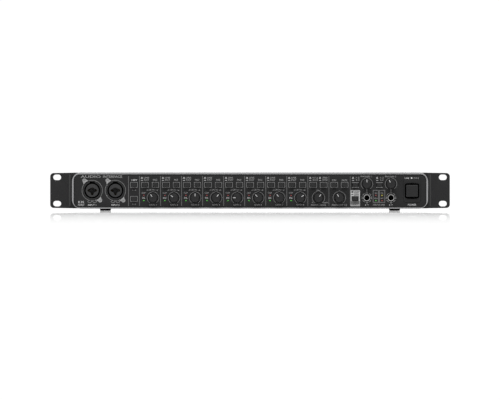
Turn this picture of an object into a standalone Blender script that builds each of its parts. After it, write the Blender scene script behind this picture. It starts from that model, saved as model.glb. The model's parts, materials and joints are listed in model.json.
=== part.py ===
"""Eight-channel audio interface, one rack unit high.

Lengths are in millimetres here, and every mesh and place is turned into metres when its object is made.
+X is to the right seen from the front, +Y runs from the front to the back, +Z is up. The origin lies on the
surface that the unit stands on, under the middle of the whole unit.

Panel parts are placed by (x, z) measured from the middle of the front panel, as seen from the front, and by a
depth measured inwards from the face of the panel that they are fixed to.
"""

import math

import bmesh
import bpy
from mathutils import Matrix

MM = 0.001
GAP = 0.3  # clearance between pieces that would touch
PAST = 1.0  # how far a cutting shape runs past the faces it cuts
LAP = 0.5  # how far joined shapes reach into each other

# Overall sizes
RACK_WIDTH = 482.6
BODY_HEIGHT = 44.0
FOOT_HEIGHT = 2.4
OVERALL_DEPTH = 217.0
KNOB_HEIGHT = 13.0
COAX_LENGTH = 9.5
MID_Z = FOOT_HEIGHT + BODY_HEIGHT / 2
FRONT_Y = -OVERALL_DEPTH / 2 + KNOB_HEIGHT  # face of the front panel
REAR_Y = OVERALL_DEPTH / 2 - COAX_LENGTH  # face of the rear panel

# Silver frame round the front panel
FRAME_WIDTH = 430.0
FRAME_RADIUS = 8.0
FRAME_SIDE = 2.2
FRAME_TOP = 2.7
FRAME_PROUD = 1.0
FRAME_DEPTH = 4.0
FRAME_CHAMFER = 1.3
FRAME_LEDGE = 1.6
PANEL_THICKNESS = 1.5
PANEL_WIDTH = FRAME_WIDTH - 2 * (FRAME_SIDE + GAP)
PANEL_HEIGHT = BODY_HEIGHT - 2 * (FRAME_TOP + GAP)
PANEL_RADIUS = FRAME_RADIUS - FRAME_SIDE - GAP

# Rack ears
EAR_THICKNESS = 2.5
EAR_BACK = 3.3  # depth of the ear's front face behind the panel face
EAR_INNER_X = 208.0
EAR_OUTER_HALF = 21.1
EAR_INNER_HALF = 21.6
EAR_RADIUS = 4.2
SLOT_X = 465.1 / 2
SLOT_Z = 31.75 / 2
SLOT_WIDTH = 10.4
SLOT_HEIGHT = 7.1
EAR_RETURN_LENGTH = 42.0
EAR_RETURN_THICKNESS = 2.0
STRIP_XS = (215.4, 217.1, 218.7)  # raised strip beside the frame: inner edge, end of flat, foot of slope
STRIP_FRONT = 2.1
STRIP_HALF = 19.3

# Sheet-metal case
SHEET = 1.2
CASE_HALF = 214.2
CASE_BOTTOM = FOOT_HEIGHT + 0.4
CASE_TOP = FOOT_HEIGHT + BODY_HEIGHT - 0.4
CASE_FRONT_Y = FRONT_Y + EAR_BACK + EAR_THICKNESS + GAP
CASE_REAR_Y = REAR_Y - SHEET - GAP
FOOT_X = 174.5
FOOT_INSET = 26.0
FOOT_RADIUS = 6.35
FOOT_TAPER = 0.7
VENT_COUNT = 9
VENT_PITCH = 9.0
VENT_SIZE = (3.0, 16.0)
VENT_MIDDLE_Y = 20.0
COVER_FLANGE = 8.0
COVER_FLANGE_INSET = 6.0
POST_XS = (-190.0, 0.0, 190.0)
POST_YS = (-60.0, 58.0)
POST_RADIUS = 3.0

# Controls on the front panel
CHANNELS = 8
CHANNEL_PITCH = 25.4
FIRST_CHANNEL_X = -133.4  # left edge of channel 1
BUTTON_ROW_Z = 6.6
KNOB_ROW_Z = -8.8
PHONES_KNOB_Z = 8.0
KNOB_OFFSET = 16.3  # from a channel's left edge
BUTTON_OFFSETS = (6.5, 18.9)
LAMP_OFFSET = 5.2
LAMP_ROWS_Z = (-5.9, -12.2)
SHAFT_HOLE_RADIUS = 3.6
SHAFT_RADIUS = 2.9
SHAFT_END = 13.5
KNOB_FACE_RADIUS = 4.8
KNOB_WAIST_RADIUS = 5.2
KNOB_SKIRT_RADIUS = 5.7
KNOB_SKIRT = (-2.4, -0.6)
POINTER_WIDTH = 0.9
POINTER_REACH = (1.8, 4.9)
BUTTON_HOLE = (6.9, 5.1)
BUTTON_CAP = (6.2, 4.4)
BUTTON_PROUD = 3.2
BUTTON_COLLAR = (7.8, 5.8)
BUTTON_COLLAR_DEPTH = (1.8, 2.7)
BUTTON_STEM = 2.8
BUTTON_STEM_END = 6.4
LAMP_HOLE = (2.4, 1.9)
GAIN_ANGLES = (-37, -53, 0, 36, -90, -41, -36, 53)  # pointer at rest, clockwise from straight up

KNOBS = {
    f"gain_knob_{n + 1}": (FIRST_CHANNEL_X + CHANNEL_PITCH * n + KNOB_OFFSET, KNOB_ROW_Z, GAIN_ANGLES[n])
    for n in range(CHANNELS)
}
KNOBS["mix_knob"] = (82.6, KNOB_ROW_Z, 36)
KNOBS["main_level_knob"] = (107.9, KNOB_ROW_Z, -32)
KNOBS["phones_level_knob_1"] = (141.1, PHONES_KNOB_Z, 0)
KNOBS["phones_level_knob_2"] = (170.2, PHONES_KNOB_Z, -27)

BUTTONS = {
    "phantom_button_1": (-140.1, BUTTON_ROW_Z),
    "phantom_button_2": (-140.1, -10.3),
    "monitor_source_button": (76.3, BUTTON_ROW_Z),
    "mono_button": (88.9, BUTTON_ROW_Z),
    "dim_button": (101.7, BUTTON_ROW_Z),
    "mute_button": (114.3, BUTTON_ROW_Z),
    "phones_source_button_1": (127.2, BUTTON_ROW_Z),
    "phones_source_button_2": (156.3, BUTTON_ROW_Z),
    "direct_monitor_button": (127.0, -9.8),
}
for n in range(CHANNELS):
    channel_x = FIRST_CHANNEL_X + CHANNEL_PITCH * n
    BUTTONS[f"input_type_button_{n + 1}"] = (channel_x + BUTTON_OFFSETS[0], BUTTON_ROW_Z)
    BUTTONS[f"pad_button_{n + 1}"] = (channel_x + BUTTON_OFFSETS[1], BUTTON_ROW_Z)

LAMPS = [
    (x, z)
    for x in [FIRST_CHANNEL_X + CHANNEL_PITCH * n + LAMP_OFFSET for n in range(CHANNELS)] + [152.0, 159.4]
    for z in LAMP_ROWS_Z
]

POWER_X, POWER_Z = 195.6, -0.5
POWER_BUTTON = 14.2
POWER_PROUD = 3.6
POWER_CAP_BACK = 4.6
POWER_STEM = 6.0
POWER_STEM_END = 6.6
POWER_OPENING = (17.0, 17.0)
POWER_BULGE = 0.9
POWER_SURROUND = (20.8, 27.6)
POWER_SURROUND_PROUD = 1.1
POWER_COLLAR = 1.2
POWER_COLLAR_END = 6.0

# Sockets
INPUT_XS = (-190.5, -162.5)
PHONES_XS = (141.1, 170.2)
PHONES_Z = -8.8
REAR_INPUT_XS = [-34.0 - 30.0 * n for n in range(6)]
OUTPUT_XS = [60.0 - 16.5 * n for n in range(5)]
OUTPUT_ZS = (9.4, -9.4)
COAX_X = 84.0
OPTICAL_X = 101.0
PAIR_ZS = (8.0, -8.0)
MIDI_XS = (123.0, 147.0)
USB_X, USB_Z = 170.5, -3.0
DC_X, DC_Z = 192.0, -3.0

COMBO_CORE_RADIUS = 7.9
COMBO_SHELL_RADIUS = 9.6
COMBO_BARREL_RADIUS = 11.6
COMBO_BORE_RADIUS = 3.3
COMBO_PIN_RADIUS = 1.1
COMBO_PIN_OFFSET = 4.4
COMBO_BORE_DEPTH = 22.0
COMBO_DEPTH = 26.0
COMBO_FLANGE = (26.0, 31.0)
COMBO_FLANGE_DEPTH = (1.8, 3.4)
COMBO_KEYWAY = 2.2
FRONT_GROOVE = 12.0
REAR_GROOVE = 1.5
JACK_BORE_RADIUS = 3.3
JACK_DEPTH = 27.0
JACK_BODY = (14.0, 13.0)
JACK_BODY_FRONT = 1.8
BUSH_PROUD = 2.6
NUT_PROUD = 2.0
FRONT_JACK = (4.9, 4.3)  # nut and bush radius
REAR_JACK = (6.0, 4.6)
HOUSING_FRONT = 1.8  # front of the rear housings, behind the panel
PORT_BACK = 5.0  # how deep the ports reach into their housing
PORT_MARGIN = 8.0
PORT_HALF_HEIGHT = 14.0
PORT_DEPTH = 16.0
PORT_PROUD = 0.6
COAX_SLEEVE_RADIUS = 4.15
COAX_COLLAR_RADIUS = 5.1
COAX_COLLAR_PROUD = 1.5
COAX_BORE_RADIUS = 1.7
OPTICAL_SIZE = 9.8
OPTICAL_OPENING = 8.2
MIDI_RADII = (6.2, 7.1, 8.1)  # face, groove and shell
MIDI_GROOVE = 2.0
USB_SIZE = (12.0, 10.8)
USB_OPENING = (8.6, 7.9)
DC_RADIUS = 4.9
DC_PROUD = 1.5
DC_BORE_RADIUS = 2.9
DC_BODY = 11.0
DC_DEPTH = 15.0

# Boards
BOARD = 1.6
CONTROL_BOARD_DEPTH = 18.0  # its front side, behind the panel face
CONTROL_BOARD_XS = (-148.0, 207.0)
CONTROL_BOARD_ZS = (-18.0, 17.6)
POT_SIZE = 9.8
POT_FRONT = 7.0
SWITCH_SIZE = 7.6
SWITCH_FRONT = 8.8
POWER_SWITCH_SIZE = 15.0
POWER_SWITCH_FRONT = 10.4
LAMP_SIZE = (1.8, 1.4)
LAMP_FRONT = 0.2
MAIN_BOARD_Z = 8.0
MAIN_BOARD_HALF = 205.0
MAIN_BOARD_YS = (-66.0, 64.0)


# Shapes, all in millimetres


def circle(radius, steps, x=0.0, z=0.0):
    """Outline of a circle in the XZ plane, with a flat side at the top."""
    angles = [math.tau * (i + 0.5) / steps for i in range(steps)]
    return [(x + radius * math.sin(a), z + radius * math.cos(a)) for a in angles]


def rectangle(width, height, x=0.0, z=0.0):
    w, h = width / 2, height / 2
    return [(x - w, z - h), (x + w, z - h), (x + w, z + h), (x - w, z + h)]


def rounded(width, height, radius, steps=4, x=0.0, z=0.0):
    """Outline of a rectangle with round corners of `steps` chords each."""
    points = []
    for corner, (sx, sz) in enumerate(((1, 1), (-1, 1), (-1, -1), (1, -1))):
        cx, cz = x + sx * (width / 2 - radius), z + sz * (height / 2 - radius)
        for i in range(steps + 1):
            a = math.pi / 2 * (corner + i / steps)
            points.append((cx + radius * math.cos(a), cz + radius * math.sin(a)))
    return points


def add_loft(bm, sections):
    """Adds a closed skin through (depth, outline) sections, whose outlines have the same number of points."""
    rings = [[bm.verts.new((x, y, z)) for x, z in outline] for y, outline in sections]
    faces = [bm.faces.new(rings[0]), bm.faces.new(rings[-1])]
    for near, far in zip(rings, rings[1:]):
        for i in range(len(near)):
            j = (i + 1) % len(near)
            faces.append(bm.faces.new((near[i], near[j], far[j], far[i])))
    bmesh.ops.recalc_face_normals(bm, faces=faces)


def add_prism(bm, outline, y0, y1):
    add_loft(bm, [(y0, outline), (y1, outline)])


def add_turned(bm, profile, steps, x=0.0, z=0.0):
    """Adds a solid turned about an axis along Y, from (depth, radius) points."""
    add_loft(bm, [(y, circle(r, steps, x, z)) for y, r in profile])


def add_block(bm, x, y, z):
    """Adds a box between the pairs of limits x, y and z."""
    corners = [(x[i], z[j]) for i, j in ((0, 0), (1, 0), (1, 1), (0, 1))]
    add_prism(bm, corners, *y)


def add_post(bm, x, y, z0, z1, r0, r1, steps):
    """Adds an upright post or cone between the heights z0 and z1."""
    middle = Matrix.Translation((x, y, (z0 + z1) / 2))
    bmesh.ops.create_cone(
        bm, cap_ends=True, segments=steps, radius1=r0, radius2=r1, depth=z1 - z0, matrix=middle
    )


# Objects


def material(name, colour, roughness, metallic=0.0):
    found = bpy.data.materials.get(name)
    if found:
        return found
    made = bpy.data.materials.new(name)
    made.use_nodes = True
    shader = made.node_tree.nodes["Principled BSDF"]
    shader.inputs["Base Color"].default_value = (*colour, 1.0)
    shader.inputs["Roughness"].default_value = roughness
    shader.inputs["Metallic"].default_value = metallic
    return made


def black_paint():
    return material("black_paint", (0.028, 0.028, 0.030), 0.5)


def black_plastic():
    return material("black_plastic", (0.022, 0.022, 0.023), 0.45)


def silver():
    return material("silver", (0.42, 0.42, 0.43), 0.4, 0.8)


def nickel():
    return material("nickel", (0.60, 0.60, 0.60), 0.25, 1.0)


def rubber():
    return material("rubber", (0.012, 0.012, 0.012), 0.85)


def green_board():
    return material("green_board", (0.02, 0.12, 0.05), 0.5)


def add_object(name, bm, look, place=(0.0, 0.0, 0.0), turn=0.0):
    """Makes an object from a bmesh in millimetres, turned about its own Y axis by `turn` degrees."""
    bmesh.ops.scale(bm, vec=(MM, MM, MM), verts=bm.verts)
    mesh = bpy.data.meshes.new(name)
    bm.to_mesh(mesh)
    bm.free()
    mesh.shade_smooth()
    mesh.set_sharp_from_angle(angle=math.radians(35))
    made = bpy.data.objects.new(name, mesh)
    made.location = [MM * value for value in place]
    made.rotation_euler = (0.0, math.radians(turn), 0.0)
    made.parent = bpy.data.objects["unit"]
    if look:
        mesh.materials.append(look)
    bpy.context.scene.collection.objects.link(made)
    return made


def combine(target, operation, bm):
    """Joins or cuts the target with the shapes in bm, which are in the target's own frame."""
    helper = add_object(f"{target.name}_{operation.lower()}", bm, None)
    helper.parent = target
    helper.hide_render = True
    helper.display_type = "WIRE"
    step = target.modifiers.new(operation.lower(), "BOOLEAN")
    step.operation = operation
    step.solver = "EXACT"
    step.object = helper


def on_front(x=0.0, z=0.0):
    return (x, FRONT_Y, MID_Z + z)


# Front: silver frame, panel and rack ears


def make_front_frame():
    outer = (FRAME_WIDTH, BODY_HEIGHT)
    inner = (FRAME_WIDTH - 2 * FRAME_SIDE, BODY_HEIGHT - 2 * FRAME_TOP)
    bevelled = (outer[0] - 0.6, outer[1] - 2 * FRAME_CHAMFER)
    front, back = -FRAME_PROUD, FRAME_DEPTH - FRAME_PROUD
    bm = bmesh.new()
    add_loft(
        bm,
        [
            (front, rounded(*bevelled, FRAME_RADIUS - FRAME_CHAMFER / 2)),
            (front + FRAME_CHAMFER, rounded(*outer, FRAME_RADIUS)),
            (back, rounded(*outer, FRAME_RADIUS)),
        ],
    )
    frame = add_object("front_frame", bm, silver(), on_front())
    opening = bmesh.new()
    shelf = PANEL_THICKNESS + GAP
    wide = rounded(*inner, FRAME_RADIUS - FRAME_SIDE)
    narrow_radius = FRAME_RADIUS - FRAME_SIDE - FRAME_LEDGE
    narrow = rounded(inner[0] - 2 * FRAME_LEDGE, inner[1] - 2 * FRAME_LEDGE, narrow_radius)
    add_loft(opening, [(front - PAST, wide), (shelf, wide), (shelf, narrow), (back + PAST, narrow)])
    combine(frame, "DIFFERENCE", opening)


def power_outline(extra=0.0):
    """The opening round the power button, whose top and bottom edges bow outwards."""
    w, h = POWER_OPENING[0] / 2 + extra, POWER_OPENING[1] / 2 + extra
    steps = 6
    shares = [i / steps for i in range(steps + 1)]
    top = [(w * (1 - 2 * share), h + POWER_BULGE * math.sin(math.pi * share)) for share in shares]
    return top + [(-x, -z) for x, z in top]


def make_front_panel():
    bm = bmesh.new()
    add_prism(bm, rounded(PANEL_WIDTH, PANEL_HEIGHT, PANEL_RADIUS), 0, PANEL_THICKNESS)
    panel = add_object("front_panel", bm, black_paint(), on_front())
    through = (-PAST, PANEL_THICKNESS + PAST)
    cuts = bmesh.new()
    for x, z, _ in KNOBS.values():
        add_prism(cuts, circle(SHAFT_HOLE_RADIUS, 8, x, z), *through)
    for x, z in BUTTONS.values():
        add_prism(cuts, rectangle(*BUTTON_HOLE, x, z), *through)
    for x, z in LAMPS:
        add_prism(cuts, rectangle(*LAMP_HOLE, x, z), *through)
    for x in INPUT_XS:
        add_prism(cuts, circle(COMBO_BARREL_RADIUS + GAP, 24, x), *through)
    for x in PHONES_XS:
        add_prism(cuts, circle(FRONT_JACK[1] + GAP, 16, x, PHONES_Z), *through)
    surround_hole = [(POWER_X + x, POWER_Z + z) for x, z in power_outline(POWER_COLLAR + GAP)]
    add_prism(cuts, surround_hole, *through)
    combine(panel, "DIFFERENCE", cuts)


def make_rack_ear(name, side):
    """Flange with two slots, a return along the case and a strip. side is -1 on the left, 1 on the right."""
    steps = 4
    corner = [math.pi / 2 * i / steps for i in range(steps + 1)]
    end_x = RACK_WIDTH / 2 - EAR_RADIUS
    top_z = EAR_OUTER_HALF - EAR_RADIUS
    upper = [(end_x + EAR_RADIUS * math.cos(a), top_z + EAR_RADIUS * math.sin(a)) for a in corner]
    upper.append((EAR_INNER_X, EAR_INNER_HALF))
    outline = upper + [(x, -z) for x, z in reversed(upper)]
    bm = bmesh.new()
    flange = (EAR_BACK, EAR_BACK + EAR_THICKNESS)
    add_prism(bm, [(side * x, z) for x, z in outline], *flange)
    ear = add_object(name, bm, black_paint(), on_front())

    added = bmesh.new()
    return_x = CASE_HALF + GAP
    add_block(
        added,
        sorted((side * return_x, side * (return_x + EAR_RETURN_THICKNESS))),
        (flange[0] + LAP, flange[1] + EAR_RETURN_LENGTH),
        (-EAR_OUTER_HALF, EAR_OUTER_HALF),
    )
    inner_x, flat_x, foot_x = STRIP_XS
    back = EAR_BACK + LAP
    strip = [(inner_x, STRIP_FRONT), (flat_x, STRIP_FRONT), (foot_x, EAR_BACK)]
    strip += [(foot_x, back), (inner_x, back)]
    verts = [[added.verts.new((side * x, y, z)) for x, y in strip] for z in (-STRIP_HALF, STRIP_HALF)]
    faces = [added.faces.new(verts[0]), added.faces.new(verts[1])]
    for i in range(len(strip)):
        j = (i + 1) % len(strip)
        faces.append(added.faces.new((verts[0][i], verts[0][j], verts[1][j], verts[1][i])))
    bmesh.ops.recalc_face_normals(added, faces=faces)
    combine(ear, "UNION", added)

    slots = bmesh.new()
    for z in (-SLOT_Z, SLOT_Z):
        slot = rounded(SLOT_WIDTH, SLOT_HEIGHT, SLOT_HEIGHT / 2 - 0.01, 4, side * SLOT_X, z)
        add_prism(slots, slot, flange[0] - PAST, flange[1] + PAST)
    combine(ear, "DIFFERENCE", slots)


# Case: tray, cover, rear panel and feet


def make_tray():
    inner = CASE_HALF - SHEET
    wall_top = CASE_TOP - SHEET - GAP
    bm = bmesh.new()
    add_block(bm, (-CASE_HALF, CASE_HALF), (CASE_FRONT_Y, CASE_REAR_Y), (CASE_BOTTOM, wall_top))
    tray = add_object("chassis_tray", bm, black_paint())
    cuts = bmesh.new()
    room_y = (CASE_FRONT_Y - PAST, CASE_REAR_Y + PAST)
    add_block(cuts, (-inner, inner), room_y, (CASE_BOTTOM + SHEET, wall_top + PAST))
    for side in (-1, 1):
        for i in range(VENT_COUNT):
            y = VENT_MIDDLE_Y + VENT_PITCH * (i - (VENT_COUNT - 1) / 2)
            add_block(
                cuts,
                (side * CASE_HALF - SHEET - PAST, side * CASE_HALF + SHEET + PAST),
                (y - VENT_SIZE[0] / 2, y + VENT_SIZE[0] / 2),
                (MID_Z - VENT_SIZE[1] / 2, MID_Z + VENT_SIZE[1] / 2),
            )
    combine(tray, "DIFFERENCE", cuts)


def make_cover():
    bottom = CASE_TOP - SHEET
    bm = bmesh.new()
    add_block(bm, (-CASE_HALF, CASE_HALF), (CASE_FRONT_Y, CASE_REAR_Y), (bottom, CASE_TOP))
    cover = add_object("top_cover", bm, black_paint())
    flanges = bmesh.new()
    outer = CASE_HALF - SHEET - GAP
    for side in (-1, 1):
        limits = sorted((side * outer, side * (outer - SHEET)))
        along = (CASE_FRONT_Y + COVER_FLANGE_INSET, CASE_REAR_Y - COVER_FLANGE_INSET)
        add_block(flanges, limits, along, (bottom - COVER_FLANGE, bottom + LAP))
    combine(cover, "UNION", flanges)


def make_rear_panel():
    through = (REAR_Y - SHEET - PAST, REAR_Y + PAST)
    bm = bmesh.new()
    add_block(bm, (-CASE_HALF, CASE_HALF), (REAR_Y - SHEET, REAR_Y), (CASE_BOTTOM, CASE_TOP))
    panel = add_object("rear_panel", bm, black_paint())
    cuts = bmesh.new()
    for x in REAR_INPUT_XS:
        add_prism(cuts, circle(COMBO_BARREL_RADIUS + GAP, 12, x, MID_Z), *through)
    for x in OUTPUT_XS:
        for z in OUTPUT_ZS:
            add_prism(cuts, circle(REAR_JACK[1] + GAP, 10, x, MID_Z + z), *through)
    optical = OPTICAL_SIZE + 2 * GAP
    for z in PAIR_ZS:
        add_prism(cuts, circle(COAX_COLLAR_RADIUS + GAP, 16, COAX_X, MID_Z + z), *through)
        add_prism(cuts, rectangle(optical, optical, OPTICAL_X, MID_Z + z), *through)
    for x in MIDI_XS:
        add_prism(cuts, circle(MIDI_RADII[2] + GAP, 20, x, MID_Z), *through)
    usb = [size + 2 * GAP for size in USB_SIZE]
    add_prism(cuts, rectangle(*usb, USB_X, MID_Z + USB_Z), *through)
    add_prism(cuts, circle(DC_RADIUS + GAP, 16, DC_X, MID_Z + DC_Z), *through)
    combine(panel, "DIFFERENCE", cuts)


def make_foot(name, x, y):
    bm = bmesh.new()
    top = CASE_BOTTOM - GAP
    add_post(bm, 0, 0, 0.0, top, FOOT_RADIUS - FOOT_TAPER, FOOT_RADIUS, 16)
    add_object(name, bm, rubber(), (x, y, 0.0))


# Controls


def make_knob(name, x, z, angle):
    """The cap and the shaft it turns. Its pointer is upright before the turn."""
    bm = bmesh.new()
    face = -KNOB_HEIGHT
    skirt_front, skirt_back = KNOB_SKIRT
    profile = [
        (face + 0.2, KNOB_FACE_RADIUS - 0.5),
        (face + 0.7, KNOB_FACE_RADIUS),
        (skirt_front - 0.6, KNOB_WAIST_RADIUS),
        (skirt_front, KNOB_SKIRT_RADIUS),
        (skirt_back, KNOB_SKIRT_RADIUS),
        (skirt_back, SHAFT_RADIUS),
        (SHAFT_END, SHAFT_RADIUS),
    ]
    add_turned(bm, profile, 12)
    knob = add_object(name, bm, black_plastic(), on_front(x, z), angle)
    pointer = bmesh.new()
    add_block(pointer, (-POINTER_WIDTH / 2, POINTER_WIDTH / 2), (face, face + 1.2), POINTER_REACH)
    combine(knob, "UNION", pointer)


def capped_stem(cap, front, edge, sections):
    """Sections of a cap with a chamfered face, from its front to the given ones behind it."""
    face = rectangle(cap[0] - 2 * edge, cap[1] - 2 * edge)
    return [(front, face), (front + edge, rectangle(*cap)), *sections]


def make_button(name, x, z):
    """Cap, retaining collar behind the panel and stem."""
    collar_front, collar_back = BUTTON_COLLAR_DEPTH
    stem = rectangle(BUTTON_STEM, BUTTON_STEM)
    behind = [
        (collar_front, rectangle(*BUTTON_CAP)),
        (collar_front, rectangle(*BUTTON_COLLAR)),
        (collar_back, rectangle(*BUTTON_COLLAR)),
        (collar_back, stem),
        (BUTTON_STEM_END, stem),
    ]
    bm = bmesh.new()
    add_loft(bm, capped_stem(BUTTON_CAP, -BUTTON_PROUD, 0.4, behind))
    add_object(name, bm, black_plastic(), on_front(x, z))


def make_power_button():
    cap = (POWER_BUTTON, POWER_BUTTON)
    stem = rectangle(POWER_STEM, POWER_STEM)
    behind = [(POWER_CAP_BACK, rectangle(*cap)), (POWER_CAP_BACK, stem), (POWER_STEM_END, stem)]
    bm = bmesh.new()
    add_loft(bm, capped_stem(cap, -POWER_PROUD, 0.6, behind))
    add_object("power_button", bm, black_plastic(), on_front(POWER_X, POWER_Z))


def make_power_surround():
    """Moulded surround with a collar that lines the hole in the panel."""
    bm = bmesh.new()
    add_loft(
        bm,
        [
            (-POWER_SURROUND_PROUD, rounded(POWER_SURROUND[0] - 1.2, POWER_SURROUND[1] - 1.2, 2.4)),
            (0.6 - POWER_SURROUND_PROUD, rounded(*POWER_SURROUND, 3.0)),
            (-GAP, rounded(*POWER_SURROUND, 3.0)),
        ],
    )
    surround = add_object("power_surround", bm, black_plastic(), on_front(POWER_X, POWER_Z))
    collar = bmesh.new()
    add_prism(collar, power_outline(POWER_COLLAR), -0.6, POWER_COLLAR_END)
    combine(surround, "UNION", collar)
    opening = bmesh.new()
    add_prism(opening, power_outline(), -POWER_SURROUND_PROUD - PAST, POWER_COLLAR_END + PAST)
    combine(surround, "DIFFERENCE", opening)


# Sockets. Each is made of three sets of shapes: a body, shapes joined to it and shapes cut from both.


def combo_bore():
    """A jack bore that runs out into three pin holes, left, right and below."""
    spread = math.acos((COMBO_BORE_RADIUS - COMBO_PIN_RADIUS) / COMBO_PIN_OFFSET)
    meet = COMBO_BORE_RADIUS / math.cos(math.pi / 4 - (math.pi / 2 - spread))
    points = []
    for quarter, next_corner in ((2, 5), (3, 7), (4, None)):
        middle = math.pi / 2 * quarter
        for i in range(-2, 3):
            a = middle + spread * i / 2
            points.append(
                (
                    COMBO_PIN_OFFSET * math.cos(middle) + COMBO_PIN_RADIUS * math.cos(a),
                    COMBO_PIN_OFFSET * math.sin(middle) + COMBO_PIN_RADIUS * math.sin(a),
                )
            )
        if next_corner:
            a = math.pi / 4 * next_corner
            points.append((meet * math.cos(a), meet * math.sin(a)))
    for i in range(1, 4):
        a = spread + (math.pi - 2 * spread) * i / 4
        points.append((COMBO_BORE_RADIUS * math.cos(a), COMBO_BORE_RADIUS * math.sin(a)))
    return points


def add_combo(body, cut, x, z, steps, bore, groove):
    """Combined three-pin and jack socket, with a ring groove of that depth round its core."""
    add_turned(
        body,
        [
            (-0.2, COMBO_CORE_RADIUS),
            (groove, COMBO_CORE_RADIUS),
            (groove, COMBO_SHELL_RADIUS),
            (-0.5, COMBO_SHELL_RADIUS),
            (-0.5, COMBO_BARREL_RADIUS),
            (COMBO_DEPTH, COMBO_BARREL_RADIUS),
        ],
        steps,
        x,
        z,
    )
    add_prism(cut, bore, -LAP - PAST, COMBO_BORE_DEPTH)
    key_x = (x - COMBO_KEYWAY, x + COMBO_KEYWAY)
    key_z = z + COMBO_SHELL_RADIUS
    add_block(cut, key_x, (-LAP - PAST, groove - PAST), (key_z - LAP, key_z + 1.0))


def add_jack(body, cut, x, z, nut_radius, bush_radius, steps):
    """Quarter-inch jack: ring nut and threaded bush, and the bore."""
    add_turned(
        body,
        [
            (-BUSH_PROUD, bush_radius),
            (-NUT_PROUD, bush_radius),
            (-NUT_PROUD, nut_radius),
            (-GAP, nut_radius),
            (-GAP, bush_radius),
            (4.0, bush_radius),
        ],
        steps,
        x,
        z,
    )
    add_prism(cut, circle(JACK_BORE_RADIUS, 8, x, z), -BUSH_PROUD - PAST, JACK_DEPTH - 2.0)


def finish_socket(name, shapes, look, place, turned_round=False):
    """Makes the object of a socket or a row of sockets from its body, joined and cut shapes."""
    body, joined, cut = shapes
    made = add_object(name, body, look, place)
    combine(made, "UNION", joined)
    combine(made, "DIFFERENCE", cut)
    if turned_round:
        made.rotation_euler = (0.0, 0.0, math.pi)
    return made


def new_shapes():
    return bmesh.new(), bmesh.new(), bmesh.new()


def make_front_sockets():
    for n, x in enumerate(INPUT_XS):
        body, joined, cut = new_shapes()
        add_combo(body, cut, 0, 0, 24, combo_bore(), FRONT_GROOVE)
        add_prism(joined, rectangle(*COMBO_FLANGE), *COMBO_FLANGE_DEPTH)
        finish_socket(f"input_jack_{n + 1}", (body, joined, cut), black_plastic(), on_front(x))
    for n, x in enumerate(PHONES_XS):
        body, joined, cut = new_shapes()
        add_jack(body, cut, 0, 0, *FRONT_JACK, 16)
        add_prism(joined, rectangle(*JACK_BODY), JACK_BODY_FRONT, JACK_DEPTH)
        finish_socket(f"phones_jack_{n + 1}", (body, joined, cut), nickel(), on_front(x, PHONES_Z))


def rear_place():
    """Rear sockets are built facing forwards, about the middle of the panel, then turned round on Z."""
    return (0.0, REAR_Y, MID_Z)


def add_housing(joined, xs, margin, half_height, depth):
    """The block that a row of rear sockets is moulded in, from behind the panel to its board."""
    across = (-xs[0] - margin, -xs[-1] + margin)
    add_block(joined, across, (HOUSING_FRONT, depth + BOARD), (-half_height, half_height))


def make_rear_inputs():
    """Six combined sockets in one housing."""
    body, joined, cut = new_shapes()
    for x in REAR_INPUT_XS:
        add_combo(body, cut, -x, 0, 12, circle(COMBO_BORE_RADIUS, 8, -x), REAR_GROOVE)
    add_housing(joined, REAR_INPUT_XS, COMBO_FLANGE[0] / 2, COMBO_FLANGE[1] / 2, COMBO_DEPTH)
    finish_socket("rear_input_jacks", (body, joined, cut), black_plastic(), rear_place(), True)


def make_outputs():
    """Ten jacks in two rows, in one housing."""
    body, joined, cut = new_shapes()
    for x in OUTPUT_XS:
        for z in OUTPUT_ZS:
            add_jack(body, cut, -x, z, *REAR_JACK, 10)
    add_housing(joined, OUTPUT_XS, JACK_BODY[0] / 2, OUTPUT_ZS[0] + JACK_BODY[1] / 2, JACK_DEPTH)
    finish_socket("output_jacks", (body, joined, cut), black_plastic(), rear_place(), True)


def make_digital_ports():
    """MIDI, coaxial, optical and USB sockets in one housing."""
    body, joined, cut = new_shapes()
    add_housing(body, (USB_X, COAX_X), PORT_MARGIN, PORT_HALF_HEIGHT, PORT_DEPTH)
    for z in PAIR_ZS:
        sleeve = [
            (-COAX_LENGTH, COAX_SLEEVE_RADIUS),
            (-COAX_COLLAR_PROUD, COAX_SLEEVE_RADIUS),
            (-COAX_COLLAR_PROUD, COAX_COLLAR_RADIUS),
            (PORT_BACK, COAX_COLLAR_RADIUS),
        ]
        add_turned(joined, sleeve, 16, -COAX_X, z)
        add_prism(cut, circle(COAX_BORE_RADIUS, 8, -COAX_X, z), -COAX_LENGTH - PAST, 0.0)
        add_prism(joined, rectangle(OPTICAL_SIZE, OPTICAL_SIZE, -OPTICAL_X, z), -PORT_PROUD, PORT_BACK)
        add_prism(cut, rectangle(OPTICAL_OPENING, OPTICAL_OPENING, -OPTICAL_X, z), -PORT_PROUD - PAST, 6.0)
    face, groove, shell = MIDI_RADII
    for x in MIDI_XS:
        socket = [
            (PORT_PROUD, face),
            (PORT_PROUD + MIDI_GROOVE, face),
            (PORT_PROUD + MIDI_GROOVE, groove),
            (-PORT_PROUD, groove),
            (-PORT_PROUD, shell),
            (PORT_BACK, shell),
        ]
        add_turned(joined, socket, 20, -x, 0)
    add_prism(joined, rectangle(*USB_SIZE, -USB_X, USB_Z), -PORT_PROUD, PORT_BACK)
    add_prism(cut, rectangle(*USB_OPENING, -USB_X, USB_Z), -PORT_PROUD - PAST, 9.0)
    finish_socket("digital_ports", (body, joined, cut), black_plastic(), rear_place(), True)


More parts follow.
